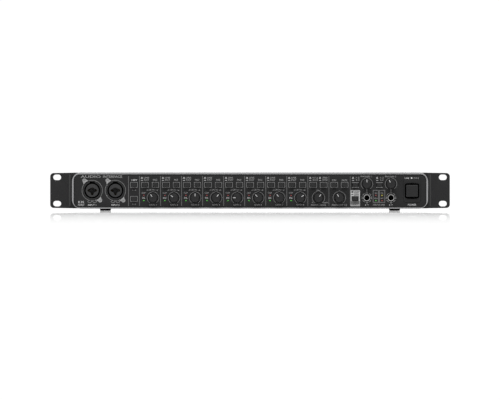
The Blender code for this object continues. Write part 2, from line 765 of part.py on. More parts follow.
def make_dc_inlet():
    body, joined, cut = new_shapes()
    add_turned(body, [(-DC_PROUD, DC_RADIUS), (3.0, DC_RADIUS)], 16)
    add_prism(joined, rectangle(DC_BODY, DC_BODY), JACK_BODY_FRONT, DC_DEPTH)
    add_prism(cut, circle(DC_BORE_RADIUS, 12), -DC_PROUD - PAST, 10.0)
    finish_socket("dc_inlet", (body, joined, cut), black_plastic(), (DC_X, REAR_Y, MID_Z + DC_Z), True)


# Boards


def make_control_board():
    """Upright board behind the front panel, with its pots, switches and lamps."""
    front = CONTROL_BOARD_DEPTH
    joint = front + LAP
    bm = bmesh.new()
    add_block(bm, CONTROL_BOARD_XS, (front, front + BOARD), CONTROL_BOARD_ZS)
    board = add_object("control_board", bm, green_board(), on_front())
    added = bmesh.new()
    for x, z, _ in KNOBS.values():
        add_prism(added, rectangle(POT_SIZE, POT_SIZE, x, z), POT_FRONT, joint)
    for x, z in BUTTONS.values():
        add_prism(added, rectangle(SWITCH_SIZE, SWITCH_SIZE, x, z), SWITCH_FRONT, joint)
    for x, z in LAMPS:
        add_prism(added, rectangle(*LAMP_SIZE, x, z), LAMP_FRONT, joint)
    power_switch = rectangle(POWER_SWITCH_SIZE, POWER_SWITCH_SIZE, POWER_X, POWER_Z)
    add_prism(added, power_switch, POWER_SWITCH_FRONT, joint)
    combine(board, "UNION", added)
    cuts = bmesh.new()
    for x, z, _ in KNOBS.values():
        add_prism(cuts, circle(SHAFT_RADIUS + 0.6, 8, x, z), POT_FRONT - PAST, SHAFT_END + GAP)
    for x in PHONES_XS:
        jack = rectangle(JACK_BODY[0] + 1, JACK_BODY[1] + 1, x, PHONES_Z)
        add_prism(cuts, jack, front - PAST, front + BOARD + PAST)
    combine(board, "DIFFERENCE", cuts)


def make_main_board():
    """Flat board with its larger components, and the posts that it stands on."""
    low, high = MAIN_BOARD_Z, MAIN_BOARD_Z + BOARD
    bm = bmesh.new()
    add_block(bm, (-MAIN_BOARD_HALF, MAIN_BOARD_HALF), MAIN_BOARD_YS, (low, high))
    board = add_object("main_board", bm, green_board())
    added = bmesh.new()
    for x in POST_XS:
        for y in POST_YS:
            add_post(added, x, y, CASE_BOTTOM + SHEET + GAP, low + LAP, POST_RADIUS, POST_RADIUS, 10)
    base = high - LAP
    chip, amplifier, capacitor, reservoir = 9.0, 4.0, 3.2, 6.0  # half widths and radii
    for x, y in ((30, 20), (-20, 20), (110, 20)):
        add_block(added, (x - chip, x + chip), (y - chip, y + chip), (base, high + 1.6))
    for n in range(CHANNELS):
        x = -150 + 22 * n
        add_block(added, (x - amplifier, x + amplifier), (-40, -30), (base, high + 4))
        add_post(added, x, -12, base, high + 10, capacitor, capacitor, 8)
    for x in (150, 166, 182):
        add_post(added, x, 30, base, high + 16, reservoir, reservoir, 10)
    transformer, connector = (60, 80), (150, 190)
    add_block(added, transformer, (-20, -2), (base, high + 12))
    add_block(added, connector, (-50, -44), (base, high + 8))
    combine(board, "UNION", added)


def main():
    for found in list(bpy.data.objects):
        bpy.data.objects.remove(found)
    unit = bpy.data.objects.new("unit", None)
    bpy.context.scene.collection.objects.link(unit)

    make_front_frame()
    make_front_panel()
    make_rack_ear("rack_ear_left", -1)
    make_rack_ear("rack_ear_right", 1)
    make_tray()
    make_cover()
    make_rear_panel()
    for across, x in (("left", -FOOT_X), ("right", FOOT_X)):
        make_foot(f"foot_front_{across}", x, FRONT_Y + FOOT_INSET)
        make_foot(f"foot_rear_{across}", x, REAR_Y - FOOT_INSET)
    for name, (x, z, angle) in KNOBS.items():
        make_knob(name, x, z, angle)
    for name, (x, z) in BUTTONS.items():
        make_button(name, x, z)
    make_power_button()
    make_power_surround()
    make_front_sockets()
    make_rear_inputs()
    make_outputs()
    make_digital_ports()
    make_dc_inlet()
    make_control_board()
    make_main_board()


main()
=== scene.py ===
"""Looks of the one-unit audio interface: its visible pieces, materials, floor, lights and camera.

Lengths are in millimetres here. Pieces on the front are drawn in panel coordinates: x to the right
and z up as the viewer sees them, and y inwards from the face of the panel. Rear pieces are drawn
in the same way for a viewer behind the unit, and are then turned round.
"""

import json
import math

import bmesh
import bpy
from mathutils import Matrix, Vector


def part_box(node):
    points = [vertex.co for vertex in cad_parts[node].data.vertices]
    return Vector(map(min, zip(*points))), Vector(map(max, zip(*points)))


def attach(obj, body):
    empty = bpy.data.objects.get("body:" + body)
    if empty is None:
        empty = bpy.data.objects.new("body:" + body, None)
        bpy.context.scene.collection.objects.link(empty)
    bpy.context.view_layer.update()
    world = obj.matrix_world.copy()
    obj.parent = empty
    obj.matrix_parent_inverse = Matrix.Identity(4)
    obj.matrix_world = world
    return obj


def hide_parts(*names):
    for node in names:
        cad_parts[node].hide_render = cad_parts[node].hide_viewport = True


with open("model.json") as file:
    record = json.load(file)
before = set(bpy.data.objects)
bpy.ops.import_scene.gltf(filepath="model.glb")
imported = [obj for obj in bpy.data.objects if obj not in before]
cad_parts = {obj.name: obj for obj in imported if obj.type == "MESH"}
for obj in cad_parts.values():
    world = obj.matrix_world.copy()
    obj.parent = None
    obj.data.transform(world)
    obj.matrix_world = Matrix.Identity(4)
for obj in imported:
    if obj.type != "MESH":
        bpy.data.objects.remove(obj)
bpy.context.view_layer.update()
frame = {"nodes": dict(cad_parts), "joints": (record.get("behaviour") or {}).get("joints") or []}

MM = 0.001


def low(node):
    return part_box(node)[0] / MM


def high(node):
    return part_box(node)[1] / MM


def middle(node):
    return (low(node) + high(node)) / 2


def size_of(node):
    return high(node) - low(node)


# Places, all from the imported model
FACE_Y = low("front_panel").y
MID_Z = middle("front_panel").z
REAR_Y = high("rear_panel").y


def on_panel(nodes):
    """The middles of these nodes, in panel coordinates."""
    return {node: (middle(node).x, middle(node).z - MID_Z) for node in nodes}


KNOB_AT = {}
for joint in frame["joints"]:
    if "knob" in joint["child"]:
        x_m, _, z_m = joint["pos_m"]
        KNOB_AT[joint["child"]] = (x_m / MM, z_m / MM - MID_Z, joint["range_deg"])
BUTTON_AT = on_panel(n for n in frame["nodes"] if "_button" in n and n != "power_button")
JACK_AT = on_panel(["phones_jack_1", "phones_jack_2"])
INPUT_AT = on_panel(["input_jack_1", "input_jack_2"])
POWER_AT = on_panel(["power_button"])["power_button"]
CHANNELS = 8
CHANNEL_PITCH = KNOB_AT["gain_knob_2"][0] - KNOB_AT["gain_knob_1"][0]
KNOB_OFFSET = 16.3
BUTTON_OFFSETS = (6.5, 18.9)
BUTTON_ROW_Z = BUTTON_AT["pad_button_1"][1]
CHANNEL_X = [KNOB_AT[f"gain_knob_{n + 1}"][0] - KNOB_OFFSET for n in range(CHANNELS)]
LAMP_XS = [x + 5.2 for x in CHANNEL_X]
LAMP_ROWS = (-5.9, -12.2)
STATUS_XS = (152.0, 159.4)
INK = 0.04  # thickness of the printed ink


# Outlines, as lists of (x, z)


def polar(x, z, radius, degrees):
    """The point at that distance and angle from (x, z), clockwise from straight up."""
    a = math.radians(degrees)
    return (x + radius * math.sin(a), z + radius * math.cos(a))


def arc_points(x, z, radius, a0, a1, steps):
    return [polar(x, z, radius, a0 + (a1 - a0) * i / steps) for i in range(steps + 1)]


def circle(radius, steps=48, x=0.0, z=0.0):
    return arc_points(x, z, radius, 0, 360, steps)[:-1]


def rect(width, height, x=0.0, z=0.0):
    w, h = width / 2, height / 2
    return [(x - w, z + h), (x + w, z + h), (x + w, z - h), (x - w, z - h)]


def rounded(width, height, radius, steps=6, x=0.0, z=0.0):
    points = []
    for turn, sx, sz in ((0, 1, 1), (90, 1, -1), (180, -1, -1), (270, -1, 1)):
        corner = (x + sx * (width / 2 - radius), z + sz * (height / 2 - radius))
        points += arc_points(*corner, radius, turn, turn + 90, steps)
    return points


def row(count, pitch, middle_x=0.0):
    """Places spread evenly about the middle."""
    return [middle_x + pitch * (i - (count - 1) / 2) for i in range(count)]


def fluted(radius, depth, flutes, steps_each):
    """A circle with round grooves in it."""
    points = []
    steps = flutes * steps_each
    for i in range(steps):
        groove = 0.5 - 0.5 * math.cos(flutes * math.tau * i / steps)
        points.append(polar(0, 0, radius - depth * groove ** 2, 360 * i / steps))
    return points


def shifted(outline, x, z):
    return [(px + x, pz + z) for px, pz in outline]
# Solids, added to a bmesh. m is the index of the material.


def skin(bm, rings, m=0, closed=False):
    """Faces through rings of points. Closed, they run on from last to first, else both ends are capped."""
    rings = [[bm.verts.new(point) for point in ring] for ring in rings]
    faces = [] if closed else [bm.faces.new(rings[0]), bm.faces.new(rings[-1])]
    following = rings[1:] + rings[:1] if closed else rings[1:]
    for near, far in zip(rings, following):
        for i in range(len(near)):
            j = (i + 1) % len(near)
            faces.append(bm.faces.new((near[i], near[j], far[j], far[i])))
    for face in faces:
        face.material_index = m
    bmesh.ops.recalc_face_normals(bm, faces=faces)
    return faces


def loft(bm, sections, m=0, ring=False):
    """A skin through (depth, outline) sections."""
    skin(bm, [[(x, y, z) for x, z in outline] for y, outline in sections], m, ring)


def prism(bm, outline, y0, y1, m=0):
    loft(bm, [(y0, outline), (y1, outline)], m)


def turned(bm, profile, steps=48, x=0.0, z=0.0, m=0, ring=False):
    """A solid turned about an axis along y, from (depth, radius) points."""
    loft(bm, [(y, circle(r, steps, x, z)) for y, r in profile], m, ring)


def tube(bm, r0, r1, y0, y1, steps=48, x=0.0, z=0.0, m=0, edge=0.0):
    """A ring between the radii r0 and r1, with its front edges bevelled."""
    profile = [(y1, r0), (y0 + edge, r0), (y0, r0 + edge), (y0, r1 - edge), (y0 + edge, r1), (y1, r1)]
    if edge == 0.0:
        profile = [(y1, r0), (y0, r0), (y0, r1), (y1, r1)]
    turned(bm, profile, steps, x, z, m, ring=True)



def block(bm, x, y, z, m=0):
    """A box between the pairs of limits x, y and z."""
    prism(bm, rect(x[1] - x[0], z[1] - z[0], (x[0] + x[1]) / 2, (z[0] + z[1]) / 2), y[0], y[1], m)


def plate(bm, outlines, y0, y1, edge=0.3, m=0):
    """A flat plate. The first outline is its edge, the others are holes, and all its edges are rounded."""
    curve = bpy.data.curves.new("plate", "CURVE")
    curve.dimensions = "2D"
    curve.fill_mode = "BOTH"
    curve.bevel_resolution = 2
    curve.bevel_depth = edge
    curve.offset = -edge
    curve.extrude = abs(y1 - y0) / 2 - edge
    for outline in outlines:
        spline = curve.splines.new("POLY")
        spline.points.add(len(outline) - 1)
        for point, (x, z) in zip(spline.points, outline):
            point.co = (x, z, 0.0, 1.0)
        spline.use_cyclic_u = True
    add_curve(bm, curve, Matrix.Translation((0, (y0 + y1) / 2, 0)), m)


def new_object(name, data):
    made = bpy.data.objects.new(name, data)
    bpy.context.scene.collection.objects.link(made)
    return made


def new_mesh(name, bm):
    """A mesh from a bmesh, which is freed."""
    mesh = bpy.data.meshes.new(name)
    bm.to_mesh(mesh)
    bm.free()
    return mesh


def add_bmesh(bm, other):
    mesh = new_mesh("part", other)
    bm.from_mesh(mesh)
    bpy.data.meshes.remove(mesh)


def add_curve(bm, curve, matrix, m):
    """Adds a flat curve's mesh, stood upright in the XZ plane and moved by the matrix."""
    holder = new_object("curve", curve)
    mesh = bpy.data.meshes.new_from_object(holder.evaluated_get(bpy.context.evaluated_depsgraph_get()))
    bpy.data.objects.remove(holder)
    bpy.data.curves.remove(curve)
    mesh.transform(matrix @ Matrix.Rotation(math.radians(90), 4, "X"))
    part = bmesh.new()
    part.from_mesh(mesh)
    bpy.data.meshes.remove(mesh)
    bmesh.ops.remove_doubles(part, verts=part.verts, dist=0.0005)
    bmesh.ops.recalc_face_normals(part, faces=part.faces)
    for face in part.faces:
        face.material_index = m
        face.smooth = True
    add_bmesh(bm, part)


# Shapes in ink, on the face of a panel


def printed(bm, outline, m):
    prism(bm, outline, -INK, 0.0, m)


def printed_line(bm, outer, inner, m):
    """A line between two outlines with the same number of points."""
    loft(bm, [(0.0, inner), (-INK, inner), (-INK, outer), (0.0, outer)], m, ring=True)


def printed_arc(bm, x, z, radius, width, a0, a1, m, steps=40):
    outside = arc_points(x, z, radius + width / 2, a0, a1, steps)
    inside = arc_points(x, z, radius - width / 2, a0, a1, steps)
    printed(bm, outside + inside[::-1], m)


CAPITAL = 0.70  # height of a capital in Blender's own font of size 1


def word(bm, words, x, z, height, width=None, m=0):
    """Words centred on (x, z), with capitals of that height, and squeezed or spread to the width."""
    scale = height / CAPITAL
    curve = bpy.data.curves.new("text", "FONT")
    curve.body = words
    curve.resolution_u = 2
    curve.extrude = INK / 2 / scale
    curve.align_x = "CENTER"
    holder = new_object("measure", curve)
    bpy.context.view_layer.update()
    stretch = width / (holder.dimensions.x * scale) if width else 1.0
    bpy.data.objects.remove(holder)
    place = Matrix.Translation((x, -INK / 2, z - height / 2))
    add_curve(bm, curve, place @ Matrix.Diagonal((scale * stretch, scale, scale, 1.0)), m)
# Pieces
TOP_Z, BOTTOM_Z = high("top_cover").z, low("chassis_tray").z
SIDE_X = high("chassis_tray").x
SHARP_ANGLE = 32


def stand(side, at):
    """The place and turn of a piece whose local x and z lie on one side of the unit, with y inwards."""
    x, z = at
    places = {
        "front": ((x, FACE_Y, MID_Z + z), 0, "Z"),
        "rear": ((-x, REAR_Y, MID_Z + z), 180, "Z"),
        "top": ((x, z, TOP_Z), -90, "X"),
        "bottom": ((x, -z, BOTTOM_Z), 90, "X"),
        "right": ((SIDE_X, x, MID_Z + z), 90, "Z"),
        "left": ((-SIDE_X, -x, MID_Z + z), -90, "Z"),
    }
    spot, degrees, axis = places[side]
    return Matrix.Translation(Vector(spot) * MM) @ Matrix.Rotation(math.radians(degrees), 4, axis)


def drawn(draw):
    """A new bmesh with what draw(bm) adds to it."""
    bm = bmesh.new()
    draw(bm)
    return bm


def mesh_of(name, bm, materials):
    """A mesh in metres from a bmesh in millimetres."""
    bmesh.ops.scale(bm, vec=(MM, MM, MM), verts=bm.verts)
    mesh = new_mesh(name, bm)
    mesh.shade_smooth()
    mesh.set_sharp_from_angle(angle=math.radians(SHARP_ANGLE))
    for look in materials:
        mesh.materials.append(look)
    return mesh


def put(name, mesh, slot, node=None, body="case", side="front", at=(0.0, 0.0), turn=0.0):
    """Stands an object on a side of the unit. It rides on the body, and stands for the CAD node."""
    made = new_object(name, mesh)
    made.matrix_world = stand(side, at) @ Matrix.Rotation(math.radians(turn), 4, "Y")
    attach(made, body)
    if node:
        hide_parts(node)
    return made


def piece(name, bm, materials, slot, node=None, **placing):
    """An object whose mesh no other piece shares."""
    return put(name, mesh_of(name, bm, materials), slot, node, **placing)


def soften(made, width):
    """Rounds the sharp edges."""
    step = made.modifiers.new("soften", "BEVEL")
    step.width = width * MM
    step.segments = 2
    step.limit_method = "ANGLE"
    step.angle_limit = math.radians(40)


# Shader nodes


def set_inputs(tree, node, inputs):
    """Gives each input its value, or links it to the output that stands for it."""
    for name, value in inputs.items():
        if isinstance(value, bpy.types.NodeSocket):
            tree.links.new(value, node.inputs[name])
        else:
            node.inputs[name].default_value = value


def add_node(tree, kind, inputs, output=0, **settings):
    """Adds a node and gives back one of its outputs."""
    node = tree.nodes.new(f"ShaderNode{kind}")
    for key, value in settings.items():
        setattr(node, key, value)
    set_inputs(tree, node, inputs)
    return node.outputs[output] if node.outputs else None


def maths(tree, operation, *terms):
    return add_node(tree, "Math", dict(enumerate(terms)), operation=operation)


def mixed(tree, factor, a, b):
    """A colour between a and b."""
    return add_node(tree, "Mix", {"Factor": factor, "A": a, "B": b}, "Result", data_type="RGBA")


def noise(tree, place, size, detail):
    return add_node(tree, "TexNoise", {"Vector": place, "Scale": 1 / (size * MM), "Detail": detail}, "Fac")


def object_place(tree):
    return add_node(tree, "TexCoord", {}, "Object")


# Materials

PATCH = 18.0  # size of the uneven patches in a finish
UNEVEN_GLOSS = 0.07
RELIEF = 0.05  # height of the bump
OPAQUE = (1.0,)  # the fourth number of a colour


def finish_of(
    name, colour, roughness, metallic=0.0, specular=0.5, grain=0.25, bump=0.15, vary=0.12, wear=0.0,
    wear_colour=(0.5, 0.5, 0.5), stretch=(1.0, 1.0, 1.0), coat=0.0,
):
    """A material with grain in millimetres, uneven colour and gloss, and edges rubbed brighter."""
    made = bpy.data.materials.new(name)
    made.use_nodes = True
    tree = made.node_tree
    place = add_node(tree, "Mapping", {"Vector": object_place(tree), "Scale": stretch})
    fine = noise(tree, place, grain, 3.0)
    broad = noise(tree, place, PATCH, 4.0)
    blend = maths(tree, "MULTIPLY_ADD", fine, 0.5, maths(tree, "MULTIPLY", broad, 0.5))
    shades = [tuple(min(1.0, c * share) for c in colour) for share in (1 - vary, 1 + vary)]
    paint = mixed(tree, blend, shades[0] + OPAQUE, shades[1] + OPAQUE)
    if wear:
        shape = add_node(tree, "NewGeometry", {}, "Pointiness")
        edge = {"Value": shape, "From Min": 0.53, "From Max": 0.62, "To Max": wear}
        patchy = maths(tree, "MULTIPLY", add_node(tree, "MapRange", edge), broad)
        paint = mixed(tree, patchy, paint, wear_colour + OPAQUE)
    uneven = roughness * UNEVEN_GLOSS
    gloss = {"Value": blend, "To Min": roughness - uneven, "To Max": roughness + uneven}
    relief = {"Strength": bump, "Distance": RELIEF * MM, "Height": fine}
    look = {
        "Metallic": metallic,
        "Specular IOR Level": specular,
        "Base Color": paint,
        "Roughness": add_node(tree, "MapRange", gloss),
        "Normal": add_node(tree, "Bump", relief),
    }
    if coat:
        look |= {"Coat Weight": coat, "Coat Roughness": 0.15}
    set_inputs(tree, tree.nodes["Principled BSDF"], look)
    return made


def lamp_finish(name, colour, glow):
    """Tinted lamp lens that glows faintly."""
    made = finish_of(name, colour, 0.25, grain=0.6, bump=0.05, vary=0.18, coat=0.4)
    light = {"Emission Color": colour + OPAQUE, "Emission Strength": glow}
    set_inputs(made.node_tree, made.node_tree.nodes["Principled BSDF"], light)
    return made


def grey(level, blue=None):
    return (level, level, blue or level)


def ink(name, level, specular=0.2, vary=0.08):
    return finish_of(name, grey(level), 0.6, specular=specular, grain=0.1, bump=0.1, vary=vary)


PAINT = finish_of(
    "black_paint", grey(0.0082, 0.0084), 0.55, specular=0.1, grain=0.22, bump=0.35, vary=0.06, wear=0.08,
)
# A paler copy of the black paint for the ear rib's outer slope: a painted highlight.
RIB_HIGHLIGHT = finish_of("rib_painted_highlight", grey(0.022), 0.55, specular=0.1, grain=0.22, bump=0.35)
PANEL = finish_of("panel_paint", grey(0.0082, 0.0084), 0.60, specular=0.1, grain=0.16, bump=0.25)
PLASTIC = finish_of(
    "black_plastic", grey(0.0072, 0.0074), 0.48, specular=0.15, grain=0.3, bump=0.2, wear=0.05,
)
KNOB = finish_of("knob_plastic", grey(0.0062, 0.0064), 0.45, specular=0.15, grain=0.2, bump=0.2, wear=0.08)
CORE = finish_of("grey_core_plastic", grey(0.0125, 0.0128), 0.50, specular=0.18, grain=0.35, bump=0.2)
SILVER = finish_of(
    "silver", grey(0.18, 0.183), 0.42, metallic=0.75, grain=0.12, bump=0.1, vary=0.05, wear=0.1,
    wear_colour=grey(0.25), stretch=(0.15, 1.0, 1.0),
)
NICKEL = finish_of(
    "nickel", grey(0.34, 0.335), 0.28, metallic=1.0, grain=0.5, bump=0.05, vary=0.06, wear=0.2,
)
STEEL = finish_of("screw_steel", grey(0.20), 0.38, metallic=1.0, grain=0.25, bump=0.12, wear=0.4)
BLACK_STEEL = finish_of("black_steel", grey(0.020), 0.35, metallic=0.4, grain=0.2, bump=0.1, wear=0.5)
# A darkened copy of the gold for the contacts deep in the front sockets: painted shade.
SHADED_CONTACT = finish_of("contact_painted_shade", (0.018, 0.013, 0.006), 0.35, metallic=1.0, grain=0.4, bump=0.05)
GOLD = finish_of("gold_contact", (0.30, 0.19, 0.07), 0.30, metallic=1.0, grain=0.4, bump=0.05)
RUBBER = finish_of("rubber", grey(0.006), 0.85, specular=0.1, grain=0.5, bump=0.4)
# Near-black fill for the backs and walls of holes, recesses and grooves: painted shade.
CAVITY_SHADE = finish_of("painted_cavity_shade", grey(0.002), 0.8, specular=0.05, grain=0.5, bump=0.1)
FLOOR = finish_of("bore_floor", grey(0.040), 0.6, specular=0.1, grain=0.3, bump=0.1)
ORANGE = finish_of("orange_insulator", (0.25, 0.09, 0.01), 0.4, grain=0.4, bump=0.1)
RED = lamp_finish("red_lamp", (0.09, 0.005, 0.005), 0.25)
GREEN = lamp_finish("green_lamp", (0.016, 0.14, 0.008), 0.6)
YELLOW = lamp_finish("yellow_lamp", (0.16, 0.14, 0.012), 0.35)
INKS = [
    ink("white_ink", 0.30, vary=0.06),
    ink("grey_ink", 0.16),
    ink("dim_ink", 0.095),
    ink("faint_ink", 0.058),
    ink("black_ink", 0.010, specular=0.1, vary=0.12),
]
WHITE_INK, GREY_INK, DIM_INK, FAINT_INK, BLACK_INK = range(len(INKS))


# Front frame, panel and rack ears

FRAME_SIZE, PANEL_SIZE = size_of("front_frame"), size_of("front_panel")
FRAME_RADIUS, FRAME_INNER_RADIUS = 11.2, 6.8  # the moulding is narrower at its corners
PANEL_DROP = 1.15  # how much further the panel shows below than above
CLEARANCE = 0.3
SHEET = 1.2
VENT_PITCH = 9.0
LOBE = (9.5, 12.0)  # screws beside a combined socket, from its middle


def make_frame():
    """A rounded silver moulding with a lip that runs down to the panel, narrower below it than above."""
    across = (FRAME_SIZE.x - PANEL_SIZE.x) / 2 - CLEARANCE
    above = (FRAME_SIZE.z - PANEL_SIZE.z) / 2 - CLEARANCE
    below = above - PANEL_DROP
    front, back = low("front_frame").y - FACE_Y, high("front_frame").y - FACE_Y
    profile = [(back, 0.0), (-0.45, 0.0), (-0.72, 0.03), (-0.9, 0.09), (front, 0.2)]
    profile += [(front, 0.8), (-0.9, 0.88), (-0.6, 0.95), (-0.1, 1.0), (back, 1.0)]
    sections = []
    for y, share in profile:
        size = (FRAME_SIZE.x - 2 * across * share, FRAME_SIZE.z - (above + below) * share)
        radius = FRAME_RADIUS + (FRAME_INNER_RADIUS - FRAME_RADIUS) * share
        sections.append((y, rounded(*size, radius, 10, 0.0, (below - above) * share / 2)))
    bm = bmesh.new()
    loft(bm, sections, ring=True)
    piece("front_frame_moulding", bm, [SILVER], "silver", "front_frame")


POWER_OPENING = 17.0
POWER_BULGE = 0.9


def power_outline(extra=0.0):
    """The opening round the power button, whose top and bottom edges bow outwards."""
    half = POWER_OPENING / 2 + extra
    steps, corner = 12, 1.0
    xs = [half * (2 * i / steps - 1) for i in range(1, steps)]
    top = [(x, half + POWER_BULGE * (1 - (x / half) ** 2)) for x in xs]
    for x, z in ((half, -corner), (half - 0.3 * corner, -0.3 * corner), (half - corner, 0.05)):
        top += [(x, half + z), (-x, half + z)]
    top.sort()
    return top + [(-x, -z) for x, z in top]


COMBO_HOLE, JACK_HOLE, KNOB_HOLE = 11.9, 4.7, 3.6  # radii of round openings
BUTTON_HOLE, LAMP_HOLE = (6.9, 5.1), (2.4, 1.9)


def make_panel():
    """The printed front plate with all its cut-outs."""
    radius = FRAME_INNER_RADIUS - CLEARANCE
    centre = (middle("front_panel").x, -PANEL_DROP / 2)
    outlines = [rounded(PANEL_SIZE.x, PANEL_SIZE.z + PANEL_DROP, radius, 8, *centre)]
    outlines += [circle(KNOB_HOLE, 24, x, z) for x, z, _ in KNOB_AT.values()]
    outlines += [rounded(*BUTTON_HOLE, 0.4, 2, x, z) for x, z in BUTTON_AT.values()]
    outlines += [rounded(*LAMP_HOLE, 0.3, 2, x, z) for x in [*LAMP_XS, *STATUS_XS] for z in LAMP_ROWS]
    outlines += [circle(COMBO_HOLE, 64, x, z) for x, z in INPUT_AT.values()]
    outlines += [circle(JACK_HOLE, 32, x, z) for x, z in JACK_AT.values()]
    outlines.append(shifted(power_outline(1.5), *POWER_AT))
    bm = bmesh.new()
    plate(bm, outlines, 0.0, PANEL_SIZE.y, edge=0.12)
    piece("front_plate", bm, [PANEL], "black_paint", "front_panel")


SLOT_X = 465.7 / 2
SLOT_Z = 31.75 / 2
SLOT_SIZE = (9.5, 6.7)
EAR_DEPTH = (3.3, 5.8)


def add_rib(bm, side):
    """A low rib on the front of the ear, with sloping ends. Its outer slope takes material 1, a paler
    paint that is a painted highlight.
    """
    depth = EAR_DEPTH[0]
    shape = [(215.4, 2.3), (215.6, 2.1), (216.9, 2.1), (217.2, 2.2), (218.6, depth - 0.1)]
    shape += [(218.6, 3.6), (215.4, 3.6)]
    half, slope = 19.3, 0.9
    rings = []
    for z, sunk in ((-half, 0.9), (slope - half, 0.0), (half - slope, 0.0), (half, 0.9)):
        rings.append([(side * x, max(y, y + sunk * (depth - y)), z) for x, y in shape])
    faces = skin(bm, rings)
    caps, outer_slope = 2, 3
    for face in faces[caps + outer_slope::len(shape)]:
        face.material_index = 1


def make_ear(side_name, side):
    """Flange with two slots, a fold back along the case, and a raised rib beside the frame."""
    node = f"rack_ear_{side_name}"
    outer_x = high("rack_ear_right").x
    inner_x, return_x = 208.0, SIDE_X + CLEARANCE
    end_half, half = 21.1, 21.6
    radius = 4.2
    outline = arc_points(outer_x - radius, end_half - radius, radius, 0, 90, 8)
    outline += arc_points(outer_x - radius, radius - end_half, radius, 90, 180, 8)
    outline += [(inner_x, -half), (inner_x, half)]
    slots = [rounded(*SLOT_SIZE, SLOT_SIZE[1] / 2 - 0.01, 10, SLOT_X, z) for z in (-SLOT_Z, SLOT_Z)]
    bm = bmesh.new()
    mirrored = [[(side * x, z) for x, z in shape] for shape in [outline, *slots]]
    plate(bm, mirrored, *EAR_DEPTH, edge=0.12)
    add_rib(bm, side)
    back = high(node).y - FACE_Y
    limits = sorted((side * return_x, side * (return_x + 2.0)))
    block(bm, limits, (EAR_DEPTH[0] + 0.5, back), (-end_half, end_half))
    made = piece(f"ear_{side_name}", bm, [PAINT, RIB_HIGHLIGHT], "black_paint", node)
    soften(made, 0.25)


# Fasteners


def cross(arm, width):
    w = width / 2
    corner = [(w, arm), (w, w), (arm, w)]
    points = []
    for quarter in range(4):
        points += corner
        corner = [(z, -x) for x, z in corner]
    return points


def screw_head(bm, x, z, radius, dome):
    """Pan head with a cross recess. Materials: 0 metal, 1 the floor of the recess, which is painted shade
    when it takes the cavity shade.
    """
    recess = shifted(cross(radius * 0.58, radius * 0.26), x, z)
    plate(bm, [circle(radius, 32, x, z), recess], -dome, 0.1, edge=dome * 0.4)
    turned(bm, [(-dome * 0.25, radius * 0.7), (0.05, radius * 0.7)], 16, x, z, 1)


# By default the floors of the cross recesses take the cavity shade: painted shade.
def make_screws(name, side, places, radius, dome=0.9, looks=(BLACK_STEEL, CAVITY_SHADE)):
    bm = bmesh.new()
    for x, z in places:
        screw_head(bm, x, z, radius, dome)
    piece(name, bm, looks, "screw_steel", side=side)


# Knobs and buttons

FLUTES = 30
FLUTE_STEPS = 5
POINTER = 0.32  # half the width of the line on a knob


def draw_knob(bm):
    """Fluted cap with a skirt, a shallow dish in its face, and an inlaid pointer."""
    points = FLUTES * FLUTE_STEPS
    face = low("gain_knob_1").y - FACE_Y + 0.05
    dish = [(0.50, 1.0), (0.42, 2.0), (0.26, 3.1), (0.06, 4.1), (0.0, 4.4)]
    dish += [(0.06, 4.62), (0.25, 4.82), (0.6, 4.92)]
    sections = [(face + y, circle(r, points)) for y, r in dish]
    sections.append((face + 0.9, fluted(4.95, 0.26, FLUTES, FLUTE_STEPS)))
    sections.append((-3.4, fluted(5.20, 0.26, FLUTES, FLUTE_STEPS)))
    skirt = [(-3.1, 5.22), (-2.8, 5.40), (-2.5, 5.62), (-2.2, 5.70), (-0.8, 5.70), (-0.6, 5.50)]
    sections += [(y, circle(r, points)) for y, r in [*skirt, (-0.6, 2.9), (8.0, 2.9)]]
    loft(bm, sections)
    for z, front, back in (((1.8, 4.55), -0.05, 0.6), ((4.5, 5.08), 0.02, 3.2)):
        block(bm, (-POINTER, POINTER), (face + front, face + back), z, 1)


def make_knobs():
    mesh = mesh_of("knob_cap", drawn(draw_knob), [KNOB, INKS[WHITE_INK]])
    for node, (x, z, limits) in KNOB_AT.items():
        angle = -(limits[0] + limits[1]) / 2
        put(f"{node}_cap", mesh, "black_plastic", node, body=node, at=(x, z), turn=angle)


def button_sections(width, height, front, edge, corner, back):
    """A cap with a softly dished face and rounded edges."""
    shape = []
    for y, share in ((0.10, 3.6), (0.02, 2.48), (0.0, 1.8), (0.06, 1.0), (0.25 * edge, 0.35)):
        shape.append((front + y, rounded(width - share * edge, height - share * edge, corner, 4)))
    shape += [(y, rounded(width, height, corner, 4)) for y in (front + edge, back)]
    return shape


def draw_button(bm):
    """A small cap with a collar behind the panel, and its stem."""
    front = low("pad_button_1").y - FACE_Y
    sections = button_sections(6.2, 4.4, front, 0.55, 0.5, 1.8)
    sections += [(y, rounded(7.8, 5.8, 0.5, 4)) for y in (1.8, 2.7)]
    sections += [(y, rounded(2.8, 2.8, 0.5, 4)) for y in (2.7, 6.4)]
    loft(bm, sections)


def make_buttons():
    mesh = mesh_of("button_cap", drawn(draw_button), [PLASTIC])
    for node, at in BUTTON_AT.items():
        put(f"{node}_cap", mesh, "black_plastic", node, body=node, at=at)


